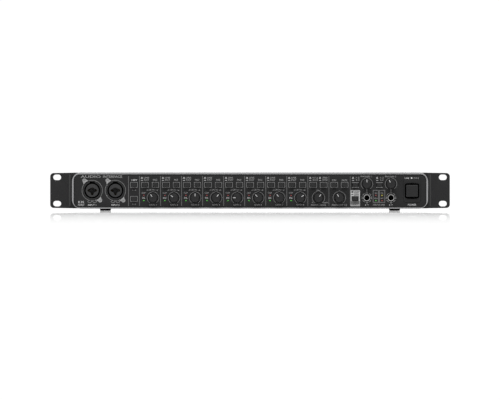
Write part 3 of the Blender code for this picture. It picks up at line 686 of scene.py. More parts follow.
def make_power():
    """The power button, the bezel round its opening, and painted shade on the walls and back of that
    opening.
    """
    node = "power_button"
    size = size_of(node).x
    sections = button_sections(size, size, low(node).y - FACE_Y, 0.9, 0.9, 4.6)
    sections += [(y, rounded(6.0, 6.0, 0.9, 4)) for y in (4.6, 6.6)]
    cap = bmesh.new()
    loft(cap, sections)
    piece("power_button_cap", cap, [KNOB], "black_plastic", node, body=node, at=POWER_AT)

    outer = size_of("power_surround")
    bezel = bmesh.new()
    plate(bezel, [rounded(outer.x, outer.z, 3.0, 6), power_outline()], -0.9, 0.0, edge=0.4)
    # The opening's inner wall takes the cavity shade: painted shade.
    plate(bezel, [power_outline(1.2), power_outline()], 0.0, 6.0, edge=0.1, m=1)
    piece("power_bezel", bezel, [PANEL, CAVITY_SHADE], "black_plastic", "power_surround", at=POWER_AT)

    # A near-black sheet that closes off the view through the opening: painted shade.
    shutter = bmesh.new()
    prism(shutter, power_outline(0.8), 10.2, 10.9)
    piece("power_opening_painted_shade", shutter, [CAVITY_SHADE], "black_plastic", at=POWER_AT)


# Sockets

PIN_RADIUS, PIN_OFFSET, BORE_RADIUS = 1.35, 4.4, 3.5


def star_bore():
    """A jack bore that runs out into three pin holes, left, right and below."""
    spread = math.degrees(math.acos((BORE_RADIUS - PIN_RADIUS) / PIN_OFFSET))
    meet = BORE_RADIUS / math.cos(math.radians(spread - 45)) * 0.93
    points = []
    for toward in (-90, -180, -270):
        if points:
            points.append(polar(0, 0, meet, toward + 45))
        pin = polar(0, 0, PIN_OFFSET, toward)
        points += arc_points(*pin, PIN_RADIUS, toward + spread, toward - spread, 8)
    return points + arc_points(0, 0, BORE_RADIUS, 90 - spread, spread - 90, 8)[1:-1]


def keyed_circle(radius, key_half, key_radius):
    """A circle with a square notch at the top."""
    start = math.degrees(math.asin(key_half / radius))
    points = arc_points(0, 0, radius, start, 360 - start, 64)
    notch = math.degrees(math.asin(key_half / key_radius))
    return points + arc_points(0, 0, key_radius, -notch, notch, 6)


def add_combo(bm, proud=0.5):
    """Combined three-pin and jack socket: shell, ring groove, core with its bore, and contacts.
    Materials: 0 shell, 1 core, 2 painted shade at the back of the ring groove, 3 contacts, 4 floor of the
    bore."""
    plate(bm, [circle(11.6, 72), keyed_circle(9.6, 3.0, 10.9)], -proud, 14.0, edge=0.3)
    plate(bm, [circle(7.9, 64), star_bore()], -proud + 0.3, 20.0, edge=0.25, m=1)
    turned(bm, [(12.0, 9.8), (12.5, 9.8)], 48, m=2)
    turned(bm, [(14.0, 11.6), (26.0, 11.6)], 48)
    turned(bm, [(11.5, 6.0), (12.1, 6.0)], 24, m=4)
    for x, z in ((-PIN_OFFSET, 0), (PIN_OFFSET, 0), (0, -PIN_OFFSET)):
        tube(bm, 0.55, 0.95, 9.0, 15.0, 12, x, z, 3)
    block(bm, (-0.9, 0.9), (10.0, 16.0), (2.75, 3.05), 3)


def make_inputs():
    # The contacts here take the darkened gold: painted shade.
    mesh = mesh_of("input_socket", drawn(add_combo), [PLASTIC, CORE, CAVITY_SHADE, SHADED_CONTACT, FLOOR])
    for node, at in INPUT_AT.items():
        put(f"{node}_socket", mesh, "black_plastic", node, at=at)


def make_input_screws():
    places = [(x + s * LOBE[0], -s * LOBE[1]) for x, _ in INPUT_AT.values() for s in (-1, 1)]
    make_screws("input_screws", "front", places, 1.9, 0.4, (STEEL, BLACK_STEEL))


def add_phones_jack(bm):
    """Ring nut, bush and a bore with its contact.
    Materials: 0 metal, 1 painted shade on the wall and back of the bore, 2 contact, 3 nut and body."""
    tube(bm, 3.3, 4.05, -2.6, 4.0, 48, edge=0.15)
    notches = fluted(4.95, 0.2, 20, 5)
    inner, front, rim = circle(4.2, 100), circle(4.45, 100), circle(4.75, 100)
    nut = [(-0.3, inner), (-2.1, inner), (-2.3, front), (-2.3, rim), (-2.05, notches), (-0.3, notches)]
    loft(bm, nut, 3, ring=True)
    turned(bm, [(8.0, 3.3), (8.5, 3.3)], 32, m=1)
    tube(bm, 3.25, 4.0, 4.0, 8.0, 32, m=1)
    block(bm, (-0.7, 0.7), (4.0, 7.5), (2.6, 2.95), 2)
    block(bm, (-7.0, 7.0), (8.5, 26.0), (-6.5, 6.5), 3)


def make_phones_jacks():
    # The contact here takes the darkened gold: painted shade.
    mesh = mesh_of("phones_socket", drawn(add_phones_jack), [NICKEL, CAVITY_SHADE, SHADED_CONTACT, PLASTIC])
    for node, at in JACK_AT.items():
        put(f"{node}_socket", mesh, "nickel", node, at=at)


LENS_SIZE = (2.0, 1.3)
LENS_PROFILE = [(-0.22, 0.55), (-0.30, 0.35), (-0.22, 0.12), (0.0, 0.0), (0.15, 0.0)]  # depth and inset


def make_lamps():
    upper, lower = LAMP_ROWS
    groups = {
        "red": (RED, [(x, upper) for x in LAMP_XS] + [(STATUS_XS[0], upper), (STATUS_XS[1], lower)]),
        "green": (GREEN, [(x, lower) for x in LAMP_XS] + [(STATUS_XS[0], lower)]),
        "yellow": (YELLOW, [(STATUS_XS[1], upper)]),
    }
    for colour, (look, places) in groups.items():
        bm = bmesh.new()
        for x, z in places:
            sizes = [(y, [side - 2 * inset for side in LENS_SIZE]) for y, inset in LENS_PROFILE]
            loft(bm, [(y, rounded(*size, 0.18, 3, x, z)) for y, size in sizes])
        piece(f"{colour}_lamp_lenses", bm, [look], f"{colour}_lamp")


# Case

CASE_SCREW = (2.6, 0.3)  # radius and dome


def make_cover():
    """Folded sheet with rounded edges, and the screws that hold it."""
    width, depth, _ = size_of("top_cover")
    middle_y = middle("top_cover").y
    bm = bmesh.new()
    plate(bm, [rounded(width, depth, 0.6, 3)], 0.0, SHEET, edge=0.35)
    for side in (-1, 1):
        edge_x = side * (width / 2 - SHEET - CLEARANCE)
        limits = sorted((edge_x, edge_x - side * SHEET))
        block(bm, limits, (SHEET - 0.2, 9.0), (6 - depth / 2, depth / 2 - 6))
    piece("cover_sheet", bm, [PAINT], "black_paint", "top_cover", side="top", at=(0.0, middle_y))
    rows = [middle_y + s * (depth / 2 - 9) for s in (-1, 1)]
    make_screws("cover_screws", "top", [(x, y) for x in (-200, -70, 70, 200) for y in rows], *CASE_SCREW)


def make_tray():
    """Folded sheet: floor and two sides with vents."""
    node = "chassis_tray"
    width, depth, height = size_of(node)
    middle_y = middle(node).y
    bm = bmesh.new()
    vents = [rounded(3.0, 30.0, 1.45, 4, x) for x in row(12, VENT_PITCH, -90) + row(12, VENT_PITCH, 90)]
    plate(bm, [rounded(width, depth, 0.6, 3), *vents], 0.0, SHEET, edge=0.35)
    piece("tray_floor", bm, [PAINT], "black_paint", node, side="bottom", at=(0.0, -middle_y))

    slots = [rounded(3.0, 16.0, 1.45, 4, x) for x in row(9, VENT_PITCH, 20.0)]
    lift = height / 2 + BOTTOM_Z - MID_Z
    wall = rect(depth, height - SHEET + 0.2, middle_y, lift + SHEET / 2 - 0.1)
    for side, sign in (("left", -1), ("right", 1)):
        bm = bmesh.new()
        plate(bm, [[(sign * x, z) for x, z in shape] for shape in [wall, *slots]], 0.0, SHEET, edge=0.3)
        piece(f"tray_side_{side}", bm, [PAINT], "black_paint", node, side=side)
    under = [(x, -y) for x in (-195, -65, 65, 195) for y in (-82, 90)]
    make_screws("floor_screws", "bottom", under, *CASE_SCREW)


FOOT_SHIFT = 0.9  # the feet stand this much further out than the CAD's


def draw_foot(bm):
    """Round rubber pad with a countersunk hole for its screw."""
    radius = size_of("foot_front_left").x / 2
    bottom = low("foot_front_left").z - BOTTOM_Z
    profile = [(0.0, radius), (bottom + 0.7, radius - 0.55), (bottom + 0.15, radius - 0.85)]
    profile += [(bottom, radius - 1.1), (bottom, 3.3), (bottom + 0.9, 2.6), (bottom + 0.9, 0.4)]
    turned(bm, profile, 48)
    turned(bm, [(bottom + 0.3, 1.6), (bottom + 0.5, 2.1), (bottom + 1.0, 2.1)], 24, m=1)


def make_feet():
    mesh = mesh_of("foot_pad", drawn(draw_foot), [RUBBER, STEEL])
    for corner in ("front_left", "front_right", "rear_left", "rear_right"):
        node = f"foot_{corner}"
        x, y, _ = middle(node)
        at = (x + math.copysign(FOOT_SHIFT, x), -y)
        put(f"{node}_pad", mesh, "rubber", node, side="bottom", at=at)


# Rear panel and its sockets

REAR_INPUTS = row(6, -30.0, middle("rear_input_jacks").x)
OUTPUTS = row(5, -16.5, middle("output_jacks").x)
PORTS_X = low("digital_ports").x
COAX_X, OPTICAL_X, MIDI_XS, USB_X = PORTS_X + 8, PORTS_X + 25, (PORTS_X + 47, PORTS_X + 71), PORTS_X + 94.5
PAIR_ZS = (8.0, -8.0)
OUTPUT_ZS = (9.4, -9.4)
LOW_Z = -3.0
DC_X = middle("dc_inlet").x
COAX_PROUD = high("digital_ports").y - REAR_Y


def make_rear_panel():
    width, _, height = size_of("rear_panel")
    outlines = [rounded(width, height, 0.6, 3)]
    outlines += [circle(COMBO_HOLE, 48, -x) for x in REAR_INPUTS]
    outlines += [circle(4.9, 28, -x, z) for x in OUTPUTS for z in OUTPUT_ZS]
    for z in PAIR_ZS:
        outlines.append(circle(5.3, 28, -COAX_X, z))
        outlines.append(rounded(10.2, 10.2, 0.4, 2, -OPTICAL_X, z))
    outlines += [circle(8.35, 40, -x) for x in MIDI_XS]
    outlines.append(rounded(12.5, 11.3, 0.4, 2, -USB_X, LOW_Z))
    outlines.append(circle(5.25, 28, -DC_X, LOW_Z))
    bm = bmesh.new()
    plate(bm, outlines, 0.0, SHEET, edge=0.2)
    piece("rear_sheet", bm, [PAINT], "black_paint", "rear_panel", side="rear")
    corners = [(x, z) for x in (-206, -70, 24, 206) for z in (-18, 18)]
    lobes = [(-x + s * LOBE[0], -s * LOBE[1]) for x in REAR_INPUTS for s in (-1, 1)]
    make_screws("rear_screws", "rear", corners + lobes, 2.2)


def make_rear_inputs():
    mesh = mesh_of("rear_input_socket", drawn(add_combo), [PLASTIC, CORE, CAVITY_SHADE, GOLD, FLOOR])
    for n, x in enumerate(REAR_INPUTS, 3):
        name = f"rear_input_{n}_socket"
        put(name, mesh, "black_plastic", "rear_input_jacks", side="rear", at=(-x, 0.0))


def add_rear_jack(bm):
    """Hexagon nut and washer on a bush. Materials: 0 metal, 1 painted shade on the wall and back of the
    bore, 2 contact.
    """
    tube(bm, 3.2, 4.5, -2.6, 4.0, 40, edge=0.25)
    tube(bm, 4.4, 6.3, -0.5, -0.02, 40, edge=0.1)
    corner = 5.4 / math.cos(math.radians(30)) * 0.98
    hexagon = arc_points(0, 0, corner, 30, 330, 5)
    plate(bm, [hexagon, circle(4.4, 40)], -2.2, -0.5, edge=0.3)
    turned(bm, [(9.0, 3.2), (9.5, 3.2)], 24, m=1)
    block(bm, (-0.7, 0.7), (4.5, 8.5), (2.6, 2.95), 2)
    tube(bm, 3.2, 4.2, 4.0, 9.0, 24, m=1)


def make_outputs():
    mesh = mesh_of("output_socket", drawn(add_rear_jack), [NICKEL, CAVITY_SHADE, GOLD])
    places = [(-x, z) for x in OUTPUTS for z in OUTPUT_ZS]
    for n, at in enumerate(places, 1):
        put(f"output_{n}_socket", mesh, "nickel", "output_jacks", side="rear", at=at)


def add_coax(bm):
    """Phono socket: sleeve, insulator, centre contact and collar."""
    tube(bm, 3.55, 4.15, -COAX_PROUD, 4.0, 40, edge=0.15)
    tube(bm, 4.1, 5.1, -1.5, 4.0, 40, m=2, edge=0.25)
    tube(bm, 1.6, 3.5, -COAX_PROUD + 0.8, 4.0, 32, m=1)
    tube(bm, 1.15, 1.55, -COAX_PROUD + 1.2, 4.0, 20, m=3)
    turned(bm, [(3.0, 1.6), (3.6, 1.6)], 16, m=2)


def cut_square(half, top, cut_x, cut_z):
    """A square opening with its two upper corners cut off."""
    right = [(half - cut_x, top), (half, top - cut_z), (half, -top)]
    return [(-x, z) for x, z in reversed(right)] + right


def add_optical(bm):
    """Square optical socket with its spring shutter."""
    opening = cut_square(4.1, 4.1, 1.2, 1.2)
    plate(bm, [rounded(9.8, 9.8, 0.4, 3), opening], -0.6, 7.0, edge=0.2)
    shutter = [(x * 0.95, z * 0.95) for x, z in opening]
    plate(bm, [shutter, circle(0.5, 12, 0, -2.9)], 0.9, 1.7, edge=0.15, m=1)
    block(bm, (-3.4, 3.4), (0.75, 1.0), (3.0, 3.4), 1)
    block(bm, (-4.5, 4.5), (6.8, 7.6), (-4.5, 4.5), 2)


def add_midi(bm):
    """Five-pin socket: shell, shield ring, and a face with pin holes and a keyway."""
    tube(bm, 7.1, 8.1, -0.6, 8.0, 56, edge=0.25)
    tube(bm, 6.55, 6.95, -0.1, 8.0, 48, m=3, edge=0.08)
    holes = [circle(0.8, 14, x, z) for x, z in arc_points(0, 0, 4.4, 90, 270, 4)]
    plate(bm, [circle(6.2, 48), rounded(2.2, 1.6, 0.3, 2, 0, 4.9), *holes], 0.6, 7.6, edge=0.15, m=1)
    turned(bm, [(7.6, 6.9), (8.2, 6.9)], 40, m=2)


def add_usb(bm):
    """Square data socket: plastic surround, metal lining and a tongue with contacts."""
    opening = cut_square(4.3, 3.95, 1.5, 1.55)
    lining = [(x * 1.08, z * 1.08) for x, z in opening]
    plate(bm, [rounded(12.0, 10.8, 0.5, 3), lining], -0.6, 8.0, edge=0.25)
    plate(bm, [lining, opening], -0.45, 9.0, edge=0.08, m=3)
    plate(bm, [rounded(5.4, 3.0, 0.3, 2)], 1.0, 9.0, edge=0.25, m=1)
    for x in (-1.25, 1.25):
        for z in (-1.56, 1.56):
            block(bm, (x - 0.5, x + 0.5), (1.6, 8.0), (z - 0.08, z + 0.08), 4)
    block(bm, (-4.6, 4.6), (8.9, 9.5), (-4.2, 4.2), 2)


def add_dc_inlet(bm):
    """Barrel inlet: collar, sleeve and centre pin."""
    tube(bm, 2.9, 4.9, -1.5, 3.0, 40, edge=0.3)
    tube(bm, 2.9, 3.4, 3.0, 10.0, 32, m=2)
    turned(bm, [(0.2, 0.5), (0.6, 0.9), (1.0, 1.05), (10.0, 1.05)], 20, m=3)
    turned(bm, [(9.8, 3.2), (10.3, 3.2)], 24, m=2)


def make_ports():
    """The digital sockets and the power inlet."""
    # In the optical, MIDI, USB and power sockets, material 2 is the cavity shade: painted shade at their
    # backs and on the power inlet's sleeve.
    looks = [PLASTIC, CORE, CAVITY_SHADE, NICKEL, GOLD]
    coax_looks, optical_looks = [NICKEL, ORANGE, PLASTIC, GOLD], [PLASTIC, KNOB, CAVITY_SHADE]
    kinds = (
        ("coaxial_port", add_coax, coax_looks, "nickel", [(COAX_X, z) for z in PAIR_ZS]),
        ("optical_port", add_optical, optical_looks, "black_plastic", [(OPTICAL_X, z) for z in PAIR_ZS]),
        ("midi_port", add_midi, looks[:4], "black_plastic", [(x, 0.0) for x in MIDI_XS]),
        ("usb_port", add_usb, looks, "black_plastic", [(USB_X, LOW_Z)]),
        ("power_inlet", add_dc_inlet, looks[:4], "black_plastic", [(DC_X, LOW_Z)]),
    )
    for kind, draw, looks, slot, places in kinds:
        mesh = mesh_of(kind, drawn(draw), looks)
        node = "dc_inlet" if draw is add_dc_inlet else "digital_ports"
        for n, (x, z) in enumerate(places, 1):
            name = f"{kind}_{n}" if len(places) > 1 else kind
            put(name, mesh, slot, node, side="rear", at=(-x, z))


# Print on the panels


def labels(bm, rows, m=GREY_INK):
    """Prints rows of (words, x, z, height, width)."""
    for row in rows:
        word(bm, *row, m)


def button_outline(bm, x, z, width=8.9, height=6.65, line=0.6):
    """The outline printed round a button, whose middle is a little higher than the button's."""
    z += 0.2
    inner = rounded(width - 2 * line, height - 2 * line, 0.2, 3, x, z)
    printed_line(bm, rounded(width, height, 0.5, 3, x, z), inner, DIM_INK)


def half_disc(x, half_width, height, steps=10):
    angles = [math.pi * (1 - i / steps) for i in range(steps + 1)]
    return [(x + half_width * math.cos(a), height * math.sin(a)) for a in angles]


def oval(x, z, half_width, half_height):
    upper = half_disc(x, half_width, half_height)
    return shifted(upper + [(px, -pz) for px, pz in reversed(upper[1:-1])], 0, z)


def switch_icons(bm, x):
    """A raised and a pressed switch, one above the other."""
    for z, dome, base in ((14.2, 1.5, 0.7), (11.75, 0.4, 0.6)):
        shape = [(x - 1.3, z), (x - 1.3, z + base)]
        shape += shifted(half_disc(x, 1.0, dome), 0, z + base)
        shape += [(x + 1.3, z + base), (x + 1.3, z)]
        printed(bm, shape, GREY_INK)


def two_rows(bm, upper, lower, x, width=6.0):
    labels(bm, ((upper, x, 15.4, 1.9, width), (lower, x, 12.7, 1.9, width)))


def knob_ring(bm, x, z, radius=7.1):
    """A ring that is open below, with a small gap and a tick at the top."""
    for ends in ((-147, -9), (9, 147)):
        printed_arc(bm, x, z, radius, 0.5, *ends, DIM_INK)
    printed(bm, rect(1.8, 0.5, x, z + radius + 0.7), DIM_INK)


def on_arc(bm, words, x, z, radius, spread, height):
    """Words along an arc over the point (x, z)."""
    for i, letter in enumerate(words):
        if letter != " ":
            degrees = spread * (i / (len(words) - 1) - 0.5)
            spot = bmesh.new()
            word(spot, letter, 0.0, 0.0, height, None, GREY_INK)
            px, pz = polar(x, z, radius, degrees)
            turn = Matrix.Rotation(math.radians(degrees), 4, "Y")
            bmesh.ops.transform(spot, matrix=Matrix.Translation((px, 0.0, pz)) @ turn, verts=spot.verts)
            add_bmesh(bm, spot)


DIVIDER_Z, DIVIDER_HEIGHT = -0.6, 36.0
LABEL_Z = -17.5
RING = (12.1, 12.6)  # radii of the line round a combined socket


def dividers(bm):
    xs = [CHANNEL_X[0] - 13.3, *CHANNEL_X, CHANNEL_X[-1] + CHANNEL_PITCH, 95.3, 121.0]
    for x in xs:
        width = 0.55 if x > 90 else 0.75
        printed(bm, rect(width, DIVIDER_HEIGHT, x, DIVIDER_Z), FAINT_INK)


def add_lobe(bm, x, z, side):
    """Teardrop round a socket's screw, running into the ring."""
    cx, cz = -side * LOBE[0], side * LOBE[1]
    toward = math.degrees(math.atan2(cx, cz))
    outline = arc_points(cx, cz, 2.45, toward - 105, toward + 105, 16)
    outline += arc_points(0, 0, RING[0], toward + 19, toward - 19, 8)
    printed(bm, shifted(outline, x, z), GREY_INK)


def input_print(bm):
    labels(bm, (("AUDIO", -192.2, 16.8, 3.0, 24.0), ("INTERFACE", -166.0, 16.8, 3.0, 23.0)))
    labels(bm, (("8 IN", -204.0, -13.9, 2.6, 6.6), ("10 OUT", -204.0, -17.3, 2.6, 7.4)), WHITE_INK)
    for n, (x, z) in enumerate(INPUT_AT.values()):
        tube(bm, *RING, -INK, 0.0, 72, x, z, DIM_INK)
        for side in (-1, 1):
            add_lobe(bm, x, z, side)
            centre = (x + side * 3.0, z - 13.4)
            printed_line(bm, oval(*centre, 2.6, 1.5), oval(*centre, 2.0, 0.95), DIM_INK)
        word(bm, f"INPUT {n + 1}", x, LABEL_Z, 2.1, 9.8)


def channel_print(bm):
    for n, left in enumerate(CHANNEL_X):
        knob_x = left + KNOB_OFFSET
        switch_icons(bm, left + 2.9)
        two_rows(bm, "LINE", "INST", left + 8.4)
        button_outline(bm, left + BUTTON_OFFSETS[0], BUTTON_ROW_Z)
        button_outline(bm, left + BUTTON_OFFSETS[1] + 0.3, BUTTON_ROW_Z, 8.3)
        labels(bm, (
            ("PAD", left + 18.7, 12.8, 2.1, 4.9),
            ("CLIP", left + 4.9, -2.85, 1.7, 4.8),
            (f"GAIN {n + 1}", knob_x, -17.2, 2.0, 9.2),
        ))
        word(bm, "SIG", left + 4.9, -8.9, 1.8, 3.7)
        on_arc(bm, "-10 LINE MIC +40", knob_x - 1.2, -39.1, 40.0, 20, 1.6)
        knob_ring(bm, knob_x, -8.8)


def phantom_print(bm):
    x = -140.1
    word(bm, "+48V", x, 12.6, 2.1, 7.2)
    for z, words in ((BUTTON_ROW_Z, "1-4"), (-10.3, "5-8")):
        button_outline(bm, x, z)
        word(bm, words, x, z - 6.3, 1.6, 4.4, DIM_INK)


def monitor_print(bm):
    for x, upper, lower in ((72.7, "IN 1-2", "IN 3-4"), (84.5, "STEREO", "MONO")):
        switch_icons(bm, x)
        two_rows(bm, upper, lower, x + 6.0)
    for x in (76.3, 88.9, 101.7, 114.3):
        button_outline(bm, x, BUTTON_ROW_Z)
    labels(bm, (
        ("MIX", 82.5, 0.1, 1.5, 4.2),
        ("IN", 75.7, -14.7, 1.4, 1.6),
        ("PLAYBACK", 91.5, -14.7, 1.4, 6.8),
        ("MONITORING", 82.6, LABEL_Z, 2.1, 18.0),
        ("DIM", 101.5, 12.3, 2.1, 4.7),
        ("MUTE", 114.1, 12.3, 2.1, 6.6),
        ("MAIN OUT 1/2", 108.0, LABEL_Z, 2.1, 18.3),
    ))
    for x in (82.6, 107.9):
        knob_ring(bm, x, -8.8, 7.6)


def phones_symbol(bm, x, z):
    """A triangle under the socket, and a small block and an arch below it."""
    printed(bm, [(x - 0.9, z - 6.6), (x, z - 7.6), (x + 0.9, z - 6.6)], GREY_INK)
    printed(bm, rect(1.1, 1.7, x - 1.6, -17.6), GREY_INK)
    printed_arc(bm, x + 1.2, -17.9, 1.0, 0.4, -90, 90, GREY_INK, 8)


def phones_print(bm):
    for n, icon_x in ((1, 124.4), (2, 153.5)):
        x, z, _ = KNOB_AT[f"phones_level_knob_{n}"]
        jack_z = JACK_AT[f"phones_jack_{n}"][1]
        switch_icons(bm, icon_x)
        two_rows(bm, "1-2", "3-4", icon_x + 5.4, 4.2)
        word(bm, f"PHONES {n}", x - 0.4, 16.9, 1.8, 13.3, GREY_INK)
        knob_ring(bm, x, z)
        printed(bm, rect(0.5, 5.0, x, -0.5), DIM_INK)
        for line_z in (BUTTON_ROW_Z - 2.9, BUTTON_ROW_Z + 2.9):
            printed(bm, rounded(8.0, 0.6, 0.2, 2, icon_x + 2.8, line_z), GREY_INK)
        for i in range(8):
            printed_arc(bm, x, jack_z, 5.7, 0.7, 45 * i - 16, 45 * i + 16, GREY_INK, 4)
        phones_symbol(bm, x, jack_z)


def direct_monitor_print(bm):
    """The pale box round the direct monitor button, with two more layers of ink on it."""
    x, z = BUTTON_AT["direct_monitor_button"]
    top, bottom = 0.45, -19.0
    outline = rounded(11.6, top - bottom, 0.5, 3, x, (top + bottom) / 2)
    window = rounded(8.2, 5.6, 0.4, 2, x + 0.1, z - 0.1)
    plate(bm, [outline, window], -INK, 0.0, edge=0.01, m=GREY_INK)
    over = bmesh.new()
    for icon_z, tall in ((-3.4, 2.1), (-5.8, 1.1)):
        printed(over, rect(3.4, 0.9, x - 3.3, icon_z), WHITE_INK)
        printed(over, rect(1.4, tall, x - 3.5, icon_z + 0.5 + tall / 2), BLACK_INK)
    labels(over, (("OFF", x + 2.0, -2.0, 1.4, 5.6), ("ON", x + 2.0, -4.7, 1.3, 4.8)), BLACK_INK)
    printed(over, rect(10.6, 3.6, x - 0.3, -14.6), FAINT_INK)
    printed(over, rect(0.9, 11.5, x + 5.0, -7.0), WHITE_INK)
    letters = bmesh.new()
    word(letters, "DIRECT", x - 0.2, -17.0, 1.3, 8.6, BLACK_INK)
    for level, layer in enumerate((over, letters), 1):
        bmesh.ops.translate(layer, vec=(0.0, -level * INK, 0.0), verts=layer.verts)
        add_bmesh(bm, layer)


def status_print(bm):
    """The frame round the status lamps, with its labels."""
    middle_x, middle_z = sum(STATUS_XS) / 2, -7.1
    windows = [rounded(5.6, 13.6, 0.3, 2, middle_x + side * 3.75, middle_z) for side in (-1, 1)]
    outline = rounded(15.0, 15.4, 0.5, 3, middle_x, middle_z)
    plate(bm, [outline, *windows], -INK, 0.0, edge=0.01, m=FAINT_INK)
    for x, upper, lower in zip(STATUS_XS, ("48V", "SYNC"), ("IN", "OUT")):
        labels(bm, ((upper, x, -3.2, 1.4, 3.4), (lower, x, -9.4, 1.4, 3.4)))
    word(bm, "STATUS LINK", middle_x, -17.3, 2.0, 14.4, GREY_INK)


def power_print(bm):
    x = POWER_AT[0]
    word(bm, "USB", x - 6.2, 14.9, 1.8, 5.6)
    printed(bm, rect(1.8, 1.8, x - 0.5, 15.0), WHITE_INK)
    word(bm, "ON", x + 5.0, 14.9, 1.8, 6.0, GREY_INK)
    word(bm, "POWER", x, -17.3, 2.2, 10.0)


def make_front_print():
    bm = bmesh.new()
    dividers(bm)
    input_print(bm)
    channel_print(bm)
    phantom_print(bm)
    monitor_print(bm)
    phones_print(bm)
    direct_monitor_print(bm)
    status_print(bm)
    power_print(bm)
    piece("front_print", bm, INKS, "white_ink")


def make_rear_print():
    bm = bmesh.new()
    for n, x in enumerate(REAR_INPUTS, 3):
        word(bm, f"INPUT {n}", -x, -17.6, 2.2)
        tube(bm, 12.6, 13.1, -INK, 0.0, 64, -x, 0.0, DIM_INK)
    for n, x in enumerate(OUTPUTS):
        for row, z in enumerate((OUTPUT_ZS[0] + 8.2, OUTPUT_ZS[1] - 8.4)):
            word(bm, f"OUT {2 * n + row + 1}", -x, z, 1.9)
    for words, z in zip(("IN", "OUT"), PAIR_ZS):
        word(bm, words, -(COAX_X + OPTICAL_X) / 2, z, 1.5)
    for x in MIDI_XS:
        tube(bm, 9.2, 9.6, -INK, 0.0, 48, -x, 0.0, DIM_INK)
    names = (
        ("COAX", COAX_X, 17.6),
        ("OPTICAL", OPTICAL_X, 17.6),
        ("MIDI IN", MIDI_XS[0], 12.4),
        ("MIDI OUT", MIDI_XS[1], 12.4),
        ("USB", USB_X, 6.4),
        ("DC IN", DC_X, 6.4),
    )
    for words, x, z in names:
        word(bm, words, -x, z, 1.9)
    borders = ((REAR_INPUTS[0] + OUTPUTS[-1]) / 2 - 1, (OUTPUTS[0] + COAX_X) / 2 + 1)
    for x in (*borders, (USB_X + MIDI_XS[1]) / 2 + 1.5):
        printed(bm, rect(0.6, 36.0, -x, 0.0), DIM_INK)
    piece("rear_print", bm, INKS, "white_ink", side="rear")


# Nodes kept from the CAD model


def board_finish(name, axis, start, end):
    """Green lacquer on the board, which lies between start and end on that axis, and dark components."""
    made = finish_of(name, (0.012, 0.060, 0.028), 0.45, grain=0.9, bump=0.3, vary=0.3)
    tree = made.node_tree
    shader = tree.nodes["Principled BSDF"]
    lacquer = shader.inputs["Base Color"].links[0].from_socket
    depth = add_node(tree, "SeparateXYZ", {"Vector": object_place(tree)}, axis)
    on_board = maths(tree, "COMPARE", depth, (start + end) / 2 * MM, ((end - start) / 2 + 0.02) * MM)
    paint = mixed(tree, on_board, grey(0.006) + OPAQUE, lacquer)
    set_inputs(tree, shader, {"Base Color": paint})
    return made


BOARD = 1.6
POST_DROP = 3.7  # the main board's posts start this far below the board


def finish_boards():
    front = high("control_board").y
    under = low("main_board").z + POST_DROP
    looks = {
        "control_board": board_finish("control_board_lacquer", "Y", front - BOARD, front),
        "main_board": board_finish("main_board_lacquer", "Z", under, under + BOARD),
    }
    for node, look in looks.items():
        materials = frame["nodes"][node].data.materials
        materials.clear()
        materials.append(look)


# Floor, light and camera

CAMERA_HEIGHT = 12.9
CAMERA_DISTANCE = 18109.5
LENS = 1080.0
KEY_POWER = 9.0


FLOOR_SIZE = 50.0
FULL_WHITE = (1.0, 1.0, 1.0, 1.0)
FADE_END = 11.5
FADE_CURVE = 1.5
MIRROR_STRENGTH = 0.78


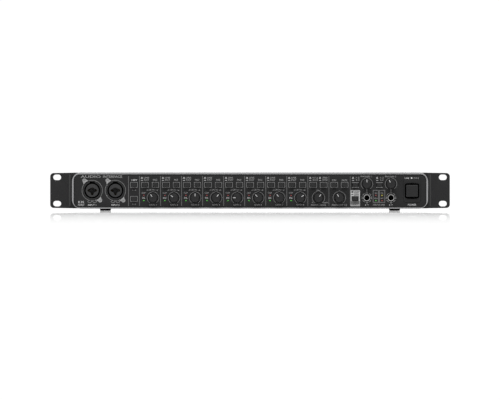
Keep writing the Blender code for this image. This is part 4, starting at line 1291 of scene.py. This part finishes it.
def floor_finish():
    """White, with a faint mirror that fades with the distance from the panel."""
    made = bpy.data.materials.new("floor")
    made.use_nodes = True
    tree = made.node_tree
    tree.nodes.clear()
    depth = add_node(tree, "SeparateXYZ", {"Vector": object_place(tree)}, "Y")
    fade = add_node(tree, "MapRange", {"Value": depth, "From Min": -FADE_END, "From Max": FACE_Y * MM})
    strength = maths(tree, "MULTIPLY", maths(tree, "POWER", fade, FADE_CURVE), MIRROR_STRENGTH)
    amount = maths(tree, "MULTIPLY", strength, add_node(tree, "Fresnel", {"IOR": 1.5}))
    matt = add_node(tree, "BsdfDiffuse", {"Color": FULL_WHITE})
    mirror = add_node(tree, "BsdfGlossy", {"Color": FULL_WHITE, "Roughness": 0.0})
    mix = add_node(tree, "MixShader", {"Fac": amount, 1: matt, 2: mirror})
    add_node(tree, "OutputMaterial", {"Surface": mix})
    return made


def make_floor():
    """A floor that mirrors the unit faintly just in front of it."""
    bm = bmesh.new()
    corners = reversed(rect(FLOOR_SIZE, FLOOR_SIZE))
    bm.faces.new([bm.verts.new((x, y, 0.0)) for x, y in corners])
    mesh = new_mesh("floor", bm)
    mesh.materials.append(floor_finish())
    new_object("floor", mesh)


KEY_PLACE, KEY_AIM = Vector((0.0, -1.0, 1.5)), Vector((0.0, 0.0, 0.02))


def make_lights():
    world = bpy.data.worlds.new("studio")
    world.use_nodes = True
    background = {"Color": FULL_WHITE, "Strength": 1.04}
    set_inputs(world.node_tree, world.node_tree.nodes["Background"], background)
    bpy.context.scene.world = world
    bpy.context.scene.view_settings.view_transform = "Standard"
    lamp = bpy.data.lights.new("key", "AREA")
    lamp.shape = "RECTANGLE"
    lamp.size, lamp.size_y = 1.6, 0.6
    lamp.spread = math.radians(70)
    lamp.energy = KEY_POWER
    made = new_object("key", lamp)
    made.location = KEY_PLACE
    made.rotation_euler = (KEY_AIM - KEY_PLACE).to_track_quat("-Z", "Y").to_euler()


def make_camera():
    data = bpy.data.cameras.new("camera")
    data.lens = LENS
    data.sensor_width = 36.0
    data.clip_end = 100.0
    made = new_object("camera", data)
    made.location = Vector((0.0, FACE_Y - CAMERA_DISTANCE, CAMERA_HEIGHT)) * MM
    made.rotation_euler = (math.radians(90), 0.0, 0.0)
    bpy.context.scene.camera = made


def main():
    make_camera()
    make_lights()
    make_floor()
    make_frame()
    make_panel()
    make_ear("left", -1)
    make_ear("right", 1)
    make_cover()
    make_tray()
    make_feet()
    make_knobs()
    make_buttons()
    make_power()
    make_inputs()
    make_phones_jacks()
    make_lamps()
    make_input_screws()
    make_rear_panel()
    make_rear_inputs()
    make_outputs()
    make_ports()
    make_front_print()
    make_rear_print()
    finish_boards()


main()
